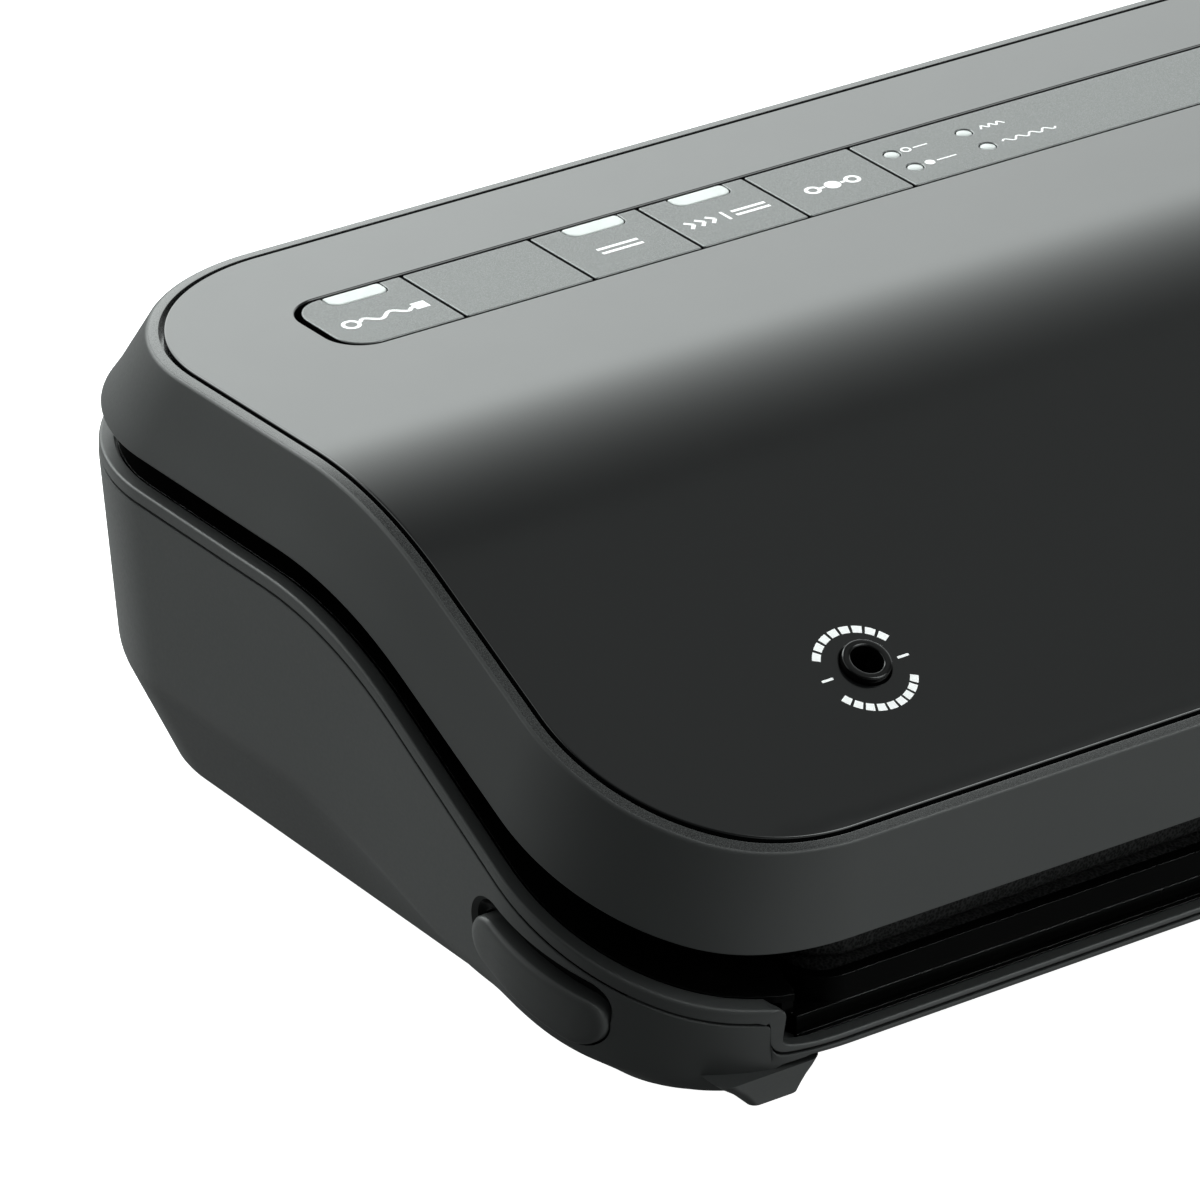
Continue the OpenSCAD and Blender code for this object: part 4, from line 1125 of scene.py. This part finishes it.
# ------------------------------------------------------------------ key plates and their light windows
def arc(cx, cy, r, a0, a1, n=10):
    return [(cx + r * math.cos(math.radians(mix(a0, a1, i / n))), cy + r * math.sin(math.radians(mix(a0, a1, i / n)))) for i in range(n + 1)]


def inset(poly, d):
    """counter-clockwise outline moved inwards by d"""
    out = []
    n = len(poly)
    for i in range(n):
        a, b_, c_ = Vector(poly[i - 1]), Vector(poly[i]), Vector(poly[(i + 1) % n])
        u, v = (b_ - a).normalized(), (c_ - b_).normalized()
        nu, nv = Vector((-u.y, u.x)), Vector((-v.y, v.x))
        m = nu + nv
        k = d / max(0.35, 1 + nu.dot(nv))
        out.append(tuple(b_ + m * k))
    return out


def plate(name, nodename, body, poly, z0, z1, bev, m, posts=(), holes=(), wall=None, edge=None):
    """moulded plate with a small edge radius; holes is [(x, y, r)]; wall is the material of the sides"""
    prof = [(0.0, z0), (0.0, z1 - bev), (bev * 0.13, z1 - bev * 0.5), (bev * 0.5, z1 - bev * 0.13), (bev, z1)]
    verts, faces, sides, rims = [], [], set(), set()
    tops, bots = [], []

    def loop(rings_xy):
        b0 = len(verts)
        n = len(rings_xy[0])
        for (d, z), ring in zip(prof, rings_xy):
            verts.extend((x, y, z) for x, y in ring)
        f0 = len(faces)
        faces.extend(ring_faces([ring for ring in rings_xy], base=b0))
        sides.update(range(f0, f0 + n))
        rims.update(range(f0 + n, f0 + n * (len(prof) - 1)))
        bots.append(list(range(b0, b0 + n)))
        tops.append(list(range(b0 + (len(prof) - 1) * n, b0 + len(prof) * n)))
    loop([inset(poly, d) if d else poly for d, z in prof])
    for hx, hy, hr in holes:
        loop([[(hx + (hr + d) * math.cos(2 * PI * i / 40), hy + (hr + d) * math.sin(2 * PI * i / 40)) for i in range(40)] for d, z in prof])
    co, ed, back = [], [], []
    for t in tops:
        s0 = len(co)
        co += [Vector((verts[i][0], verts[i][1])) for i in t]
        ed += [(s0 + i, s0 + (i + 1) % len(t)) for i in range(len(t))]
        back += t
    vo, eo, fo, ov, oe, of_ = delaunay_2d_cdt(co, ed, [], 0, 1e-7)
    if any(not o for o in ov):
        raise ValueError(name + ": outline crosses itself")
    idx = [back[o[0]] for o in ov]
    cen = np.array([(sum(vo[i].x for i in f) / 3, sum(vo[i].y for i in f) / 3) for f in fo])
    keep = np_inside([(verts[i][0], verts[i][1]) for i in tops[0]], cen)
    for t in tops[1:]:
        keep &= ~np_inside([(verts[i][0], verts[i][1]) for i in t], cen)
    low = {t: b0 for T_, B_ in zip(tops, bots) for t, b0 in zip(T_, B_)}
    for k_, f in zip(keep, fo):
        if k_:
            t = tuple(idx[i] for i in f)
            faces.append(t)
            sides.add(len(faces))
            faces.append(tuple(low[i] for i in t[::-1]))
    for x0, x1, y0, y1, w0, w1 in posts:
        b0 = len(verts)
        verts += [(x, y, z) for z in (w0, w1) for x, y in ((x0, y0), (x1, y0), (x1, y1), (x0, y1))]
        sides.update(range(len(faces), len(faces) + 6))
        faces += [(b0, b0 + 3, b0 + 2, b0 + 1), (b0 + 4, b0 + 5, b0 + 6, b0 + 7)]
        faces += [(b0 + i, b0 + (i + 1) % 4, b0 + 4 + (i + 1) % 4, b0 + 4 + i) for i in range(4)]
    ob = new_mesh(name, verts, faces, 60)
    outward(ob)
    paint(ob, m)
    if wall:
        ob.data.materials.append(wall)
        for i in sides:
            ob.data.polygons[i].material_index = 1
    if edge:
        ob.data.materials.append(edge)
        for i in rims:
            ob.data.polygons[i].material_index = 2
    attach(ob, body)
    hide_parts(nodename)
    return ob


def key_outline(x0, x1, rl=0.35, rr=0.35, win=None):
    y0, y1 = STRIP_Y - STRIP_D / 2 + 0.8, STRIP_Y + STRIP_D / 2 - 0.3
    x0, x1 = x0 + 0.1, x1 - 0.1
    p = arc(x0 + rl, y0 + rl, rl, 180, 270, 14 if rl > 1 else 3) + arc(x1 - rr, y0 + rr, rr, 270, 360, 14 if rr > 1 else 3)
    p += arc(x1 - rr, y1 - rr, rr, 0, 90, 14 if rr > 1 else 3)
    if win:
        a0, a1, d, r = win[0] - 0.2, win[1] + 0.2, win[2] - 0.2, 2.15
        p += [(a1 + 0.0, y1)] + arc(a1 - r, d + r, r, 360, 270, 10) + arc(a0 + r, d + r, r, 270, 180, 10) + [(a0, y1)]
    p += arc(x0 + rl, y1 - rl, rl, 90, 180, 14 if rl > 1 else 3)
    return p


def keys():
    yr = STRIP_Y + STRIP_D / 2 - 0.3
    for nm, node_, win_, x0, x1, rl in (("accessory", "accessory_key", "accessory_window", -163.95, -140.4, 6.0), ("seal", "seal_key", "seal_window", -112.7, -89.7, 0.35),
                                        ("vac_seal", "vac_seal_key", "vac_seal_window", -89.3, -66.3, 0.35), ("mode", "mode_key", None, -65.9, -42.8, 0.35)):
        w = None
        body = nm + "_button"
        if win_:
            lo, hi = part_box(win_)
            w = (lo.x / MM, hi.x / MM, lo.y / MM - 1.0)
        cx = -153 if nm == "accessory" else (x0 + x1) / 2
        plate(nm + "_key_cap", node_, body, key_outline(x0, x1, rl, 0.35, w), KEY_TOP - 2.4, KEY_TOP, 0.24, M_KEY, ((cx - 1.9, cx + 1.9, STRIP_Y - 1.9, STRIP_Y + 1.9, 82.35, KEY_TOP - 2.3),), wall=M_INNER, edge=M_EDGE)
        if w:
            r = 1.95
            q = arc(w[0] + r, w[2] + r, r, 180, 270, 10) + arc(w[1] - r, w[2] + r, r, 270, 360, 10) + arc(w[1] - 0.8, yr - 0.8, 0.8, 0, 90, 5) + arc(w[0] + 0.45, yr - 0.45, 0.45, 90, 180, 4)
            plate(nm + "_light_window", win_, body, q, KEY_TOP - 1.4, KEY_TOP + 0.02, 0.26, M_WINDOW_GLOW)
    plate("blank_key_cap", "key_blank", "lid", key_outline(-140.0, -113.1), KEY_TOP - 2.4, KEY_TOP, 0.24, M_KEY, ((-130, -122, STRIP_Y - 8, STRIP_Y + 8, 78, KEY_TOP - 2.3),), wall=M_INNER, edge=M_EDGE)
    plate("indicator_plate", "indicator_strip", "lid", key_outline(-42.4, 164.35, 0.35, 6.2), KEY_TOP - 2.4, KEY_TOP, 0.24, M_KEY,
          ((20, 28, STRIP_Y - 8, STRIP_Y + 8, 76.4, KEY_TOP - 2.3), (120, 128, STRIP_Y - 8, STRIP_Y + 8, 76.4, KEY_TOP - 2.3)),
          holes=[(x, y, 1.62) for x, y in LEDS], wall=M_INNER, edge=M_EDGE)
    verts, faces = [], []
    for x, y in LEDS:
        b0 = len(verts)
        prof = ((1.5, 78.0), (1.5, KEY_TOP - 0.3), (1.42, KEY_TOP - 0.16), (1.2, KEY_TOP - 0.07), (0.8, KEY_TOP - 0.01), (0.35, KEY_TOP + 0.02))
        verts += [(x + r_ * math.cos(2 * PI * i / 36), y + r_ * math.sin(2 * PI * i / 36), z) for r_, z in prof for i in range(36)]
        faces += ring_faces([range(36)] * len(prof), base=b0)
        faces += [tuple(range(b0, b0 + 36))[::-1], tuple(range(b0 + 36 * (len(prof) - 1), b0 + 36 * len(prof)))]
    ob = new_mesh("mode_light_pipes", verts, faces, 50)
    outward(ob)
    paint(ob, M_WINDOW_GLOW)
    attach(ob, "lid")
    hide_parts("mode_leds")


# ------------------------------------------------------------------ printed marks
def stroke(pts, w, closed=False, cap=6):
    """polygons of a line of width w through pts, as quads"""
    out = []
    n = len(pts)
    for i in range(n if closed else n - 1):
        a, b_ = Vector(pts[i]), Vector(pts[(i + 1) % n])
        d = (b_ - a).normalized()
        s = Vector((-d.y, d.x)) * w / 2
        out.append([tuple(a - s), tuple(b_ - s), tuple(b_ + s), tuple(a + s)])
    return out


def band(cx, cy, r, w, a0, a1, n=24):
    ro, ri = r + w / 2, r - w / 2
    t = [math.radians(mix(a0, a1, i / n)) for i in range(n + 1)]
    return [[(cx + ri * math.cos(a), cy + ri * math.sin(a)), (cx + ro * math.cos(a), cy + ro * math.sin(a)),
             (cx + ro * math.cos(b_), cy + ro * math.sin(b_)), (cx + ri * math.cos(b_), cy + ri * math.sin(b_))] for a, b_ in zip(t, t[1:])]


def disc(cx, cy, r, n=20):
    return [[(cx + r * math.cos(2 * PI * i / n), cy + r * math.sin(2 * PI * i / n)) for i in range(n)]]


def box2(x0, y0, x1, y1):
    return [[(x0, y0), (x1, y0), (x1, y1), (x0, y1)]]


def mark(name, polys, place, body, th=0.03):
    verts, faces = [], []
    for p in polys:
        b0 = len(verts)
        n = len(p)
        verts += [place(u, v, 0.004) for u, v in p]
        verts += [place(u, v, th) for u, v in p]
        faces.append(tuple(range(b0 + n, b0 + 2 * n)))
        faces.append(tuple(range(b0, b0 + n))[::-1])
        for i in range(n):
            q = (i + 1) % n
            faces.append((b0 + i, b0 + q, b0 + n + q, b0 + n + i))
    ob = new_mesh(name, verts, faces, 0, weighted=False)
    for p in ob.data.polygons:
        p.use_smooth = False
    outward(ob)
    paint(ob, M_PRINT_GLOW)
    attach(ob, body)
    return ob


def marks():
    def on_key(cx, cy):
        return lambda u, v, h: (cx + u, cy + v, KEY_TOP + h)
    # accessory: a hose that ends in a round tip
    g = band(-7.2, 0, 1.45, 0.75, 0, 360, 28)
    wave = [(-5.8 + 11.6 * i / 40, 0.9 * math.sin(2 * PI * i / 20) * min(1, i / 5, (40 - i) / 5)) for i in range(41)]
    g += stroke(wave, 0.8) + box2(5.8, -1.3, 8.6, 1.3)
    mark("mark_accessory", g, on_key(-151.4, 48.6), "accessory_button")
    # seal: two closed lines
    g = box2(-4.4, 0.5, 4.4, 1.3) + box2(-4.4, -1.3, 4.4, -0.5)
    mark("mark_seal", g, on_key(-101.3, 48.9), "seal_button")
    # vacuum and seal: arrows drawn in, then the two lines
    g = []
    for k in range(3):
        x = -8.6 + 2.3 * k
        g += stroke([(x, 1.45), (x + 1.25, 0), (x, -1.45)], 0.75)
    g += box2(-0.7, -1.8, -0.1, 1.8)
    g += box2(1.4, 0.45, 8.8, 1.25) + box2(1.4, -1.25, 8.8, -0.45)
    mark("mark_vac_seal", g, on_key(-77.9, 48.9), "vac_seal_button")
    # mode: steps through a choice
    g = band(-4.4, 0, 1.25, 0.75, 0, 360, 24) + disc(0, 0, 1.6) + band(4.4, 0, 1.25, 0.75, 0, 360, 24)
    g += box2(-2.7, -0.35, -1.8, 0.35) + box2(1.8, -0.35, 2.7, 0.35)
    mark("mark_mode", g, on_key(-54.6, 48.9), "mode_button")
    # beside the four lights
    def led(cx, cy):
        return lambda u, v, h: (cx + u, cy + v, KEY_TOP + h)
    g = band(0, 0, 0.85, 0.4, 0, 360, 20) + box2(1.6, -0.2, 4.8, 0.2)
    mark("mark_light_a", g, led(-34.4, 53.9), "lid")
    g = disc(0, 0, 1.0) + box2(1.6, -0.2, 6.0, 0.2)
    mark("mark_light_b", g, led(-34.2, 46.9), "lid")
    zz = [(0, -0.7), (0.9, 0.7), (1.8, -0.7), (2.7, 0.7), (3.6, -0.7), (4.5, 0.7), (5.4, -0.7)]
    mark("mark_light_c", stroke(zz, 0.4), led(-17.6, 54.1), "lid")
    wv = [(12.0 * i / 48, 0.65 * math.sin(2 * PI * i / 12)) for i in range(49)]
    mark("mark_light_d", stroke(wv, 0.42), led(-17.7, 46.8), "lid")
    # ring of dashes round the port
    ca, sa = math.cos(math.radians(SLOPE)), math.sin(math.radians(SLOPE))
    z0 = zp(PORT_Y)

    def on_slope(u, v, h):
        u, v = u - 0.5, v - 0.8
        y = PORT_Y + v * ca
        nrm = slope_normal(zp, y)
        return (PORT_X + u, y + nrm.y * h, zp(y) + nrm.z * h)
    g = []
    for a0, a1, n in ((28, 152, 8), (208, 332, 9)):
        step = (a1 - a0) / n
        for i in range(n):
            g += band(0, 0, 8.5, 1.5, a0 + step * (i + 0.12), a0 + step * (i + 0.88), 5)
    g += box2(-9.0, -0.24, -6.7, 0.24) + box2(6.7, -0.24, 9.0, 0.24)
    mark("mark_port_ring", g, on_slope, "lid", 0.04)


skirt = lid_skirt()
pan = panel()
rm = rim()
tb = build_base()
buttons()
foam("lower_foam", "lower_gasket", "base", True)
foam("upper_foam", "upper_gasket", "lid", False)
keys()
marks()

# ------------------------------------------------------------------ floor, light, camera
bm = bmesh.new()
bmesh.ops.create_grid(bm, x_segments=1, y_segments=1, size=30)
me = bpy.data.meshes.new("studio_floor")
bm.to_mesh(me)
bm.free()
floor = bpy.data.objects.new("studio_floor", me)
floor.location = (0, 0, -0.0002)
bpy.context.scene.collection.objects.link(floor)
M_FLOOR, nt, b = mat("pale_floor")
b.inputs["Base Color"].default_value = (0.85, 0.85, 0.85, 1)
b.inputs["Roughness"].default_value = 0.9
b.inputs["Specular IOR Level"].default_value = 0.1
b.inputs["Emission Color"].default_value = (1, 1, 1, 1)
b.inputs["Emission Strength"].default_value = 1.0
floor.data.materials.append(M_FLOOR)
floor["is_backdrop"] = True
# a cut-out style sweep: the floor is seen, but throws no light back on the case
floor.visible_diffuse = False
floor.visible_glossy = False

world = bpy.data.worlds.new("studio")
bpy.context.scene.world = world
world.use_nodes = True
nt = world.node_tree
bg = nt.nodes["Background"]
tc = nt.nodes.new("ShaderNodeTexCoord")
sp = nt.nodes.new("ShaderNodeSeparateXYZ")
nt.links.new(tc.outputs["Generated"], sp.inputs[0])


def wmath(op, a, b_):
    n = nt.nodes.new("ShaderNodeMath")
    n.operation = op
    for k, v in enumerate((a, b_)):
        if isinstance(v, (int, float)):
            n.inputs[k].default_value = v
        else:
            nt.links.new(v, n.inputs[k])
    return n.outputs[0]


def wrange(src, a, b_, c0, c1):
    n = nt.nodes.new("ShaderNodeMapRange")
    n.interpolation_type = "SMOOTHSTEP"
    for k, v in (("From Min", a), ("From Max", b_), ("To Min", c0), ("To Max", c1)):
        n.inputs[k].default_value = v
    nt.links.new(src, n.inputs["Value"])
    return n.outputs["Result"]


def toward(d):
    n = nt.nodes.new("ShaderNodeVectorMath")
    n.operation = "DOT_PRODUCT"
    n.inputs[1].default_value = tuple(Vector(d).normalized())
    nt.links.new(tc.outputs["Generated"], n.inputs[0])
    return n.outputs["Value"]


# tall soft box behind the case: strongest low down, falling off with height
rp = nt.nodes.new("ShaderNodeValToRGB")
e = rp.color_ramp.elements
SKY = ((0.0, 0.25), (0.08, 0.45), (0.2, 2.4), (0.33, 3.0), (0.43, 2.9), (0.49, 2.55), (0.56, 1.85), (0.635, 1.2), (0.70, 0.74), (0.755, 0.44), (0.80, 0.26), (0.84, 0.17), (1.0, 0.16))
e[0].position, e[0].color = SKY[0][0], (*[SKY[0][1] / 4] * 3, 1)
e[1].position, e[1].color = SKY[-1][0], (*[SKY[-1][1] / 4] * 3, 1)
for pos, v in SKY[1:-1]:
    x = e.new(pos)
    x.color = (v / 4, v / 4, v / 4, 1)
nt.links.new(sp.outputs["Z"], rp.inputs["Fac"])
rear = wrange(sp.outputs["Y"], -0.05, 0.2, 0.0, 1.0)
side = wrange(sp.outputs["X"], 0.42, 0.70, 1.24, 0.66)
box = wmath("MULTIPLY", wmath("MULTIPLY", rp.outputs["Color"], 4.0), wmath("MULTIPLY", rear, side))
up = wmath("GREATER_THAN", sp.outputs["Z"], 0.0)
box = wmath("MULTIPLY", box, wmath("MULTIPLY", up, wrange(sp.outputs["X"], -0.75, -0.35, 0.45, 1.0)))
# overhead fill, two low side fills, dim towards the front
top = wmath("MULTIPLY", wrange(sp.outputs["Z"], 0.55, 0.95, 0.0, 1.0), wrange(sp.outputs["Y"], 0.26, 0.04, 0.0, 0.36))
left = wrange(toward((-0.62, 0.74, -0.30)), 0.38, 0.97, 0.0, 0.50)
left = wmath("MULTIPLY", left, wmath("MULTIPLY", wrange(sp.outputs["Z"], -0.72, -0.42, 0.1, 1.0), wrange(sp.outputs["Z"], -0.36, -0.04, 1.0, 0.1)))
right = wrange(toward((0.52, -0.76, -0.28)), 0.45, 0.97, 0.0, 0.62)
# small strips that draw the highlights along the edges
edge_a = wrange(toward((-0.10, 0.73, 0.68)), 0.955, 0.99, 0.0, 7.5)
edge_b = wrange(toward((0.50, -0.47, 0.73)), 0.96, 0.99, 0.0, 7.0)
low = wrange(toward((0.04, 0.93, -0.36)), 0.90, 0.995, 0.0, 0.24)
edge_c = wrange(toward((0.52, -0.77, 0.37)), 0.965, 0.99, 0.0, 1.8)
box = wmath("ADD", wmath("ADD", box, low), wmath("ADD", edge_c, wmath("ADD", edge_a, edge_b)))
tot = wmath("ADD", wmath("ADD", box, top), wmath("ADD", wmath("ADD", left, right), 0.10))
nt.links.new(tot, bg.inputs["Strength"])
bg.inputs["Color"].default_value = (0.95, 1.0, 0.985, 1)


cam = bpy.data.cameras.new("cam")
cam.lens = 261.34
cam.sensor_width = 36
cam.sensor_fit = "HORIZONTAL"
cam.clip_start, cam.clip_end = 0.05, 100
co = bpy.data.objects.new("cam", cam)
co.location = (-0.9135, -1.0987, 0.7168)
co.rotation_euler = (math.radians(63.474), 0, math.radians(-35.143))
bpy.context.scene.collection.objects.link(co)
bpy.context.scene.camera = co
bpy.context.scene.view_settings.view_transform = "Standard"
bpy.context.scene.view_settings.look = "None"

lo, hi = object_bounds()
{"cad": [list(cad_lo), list(cad_hi)], "visual": [list(lo), list(hi)]}
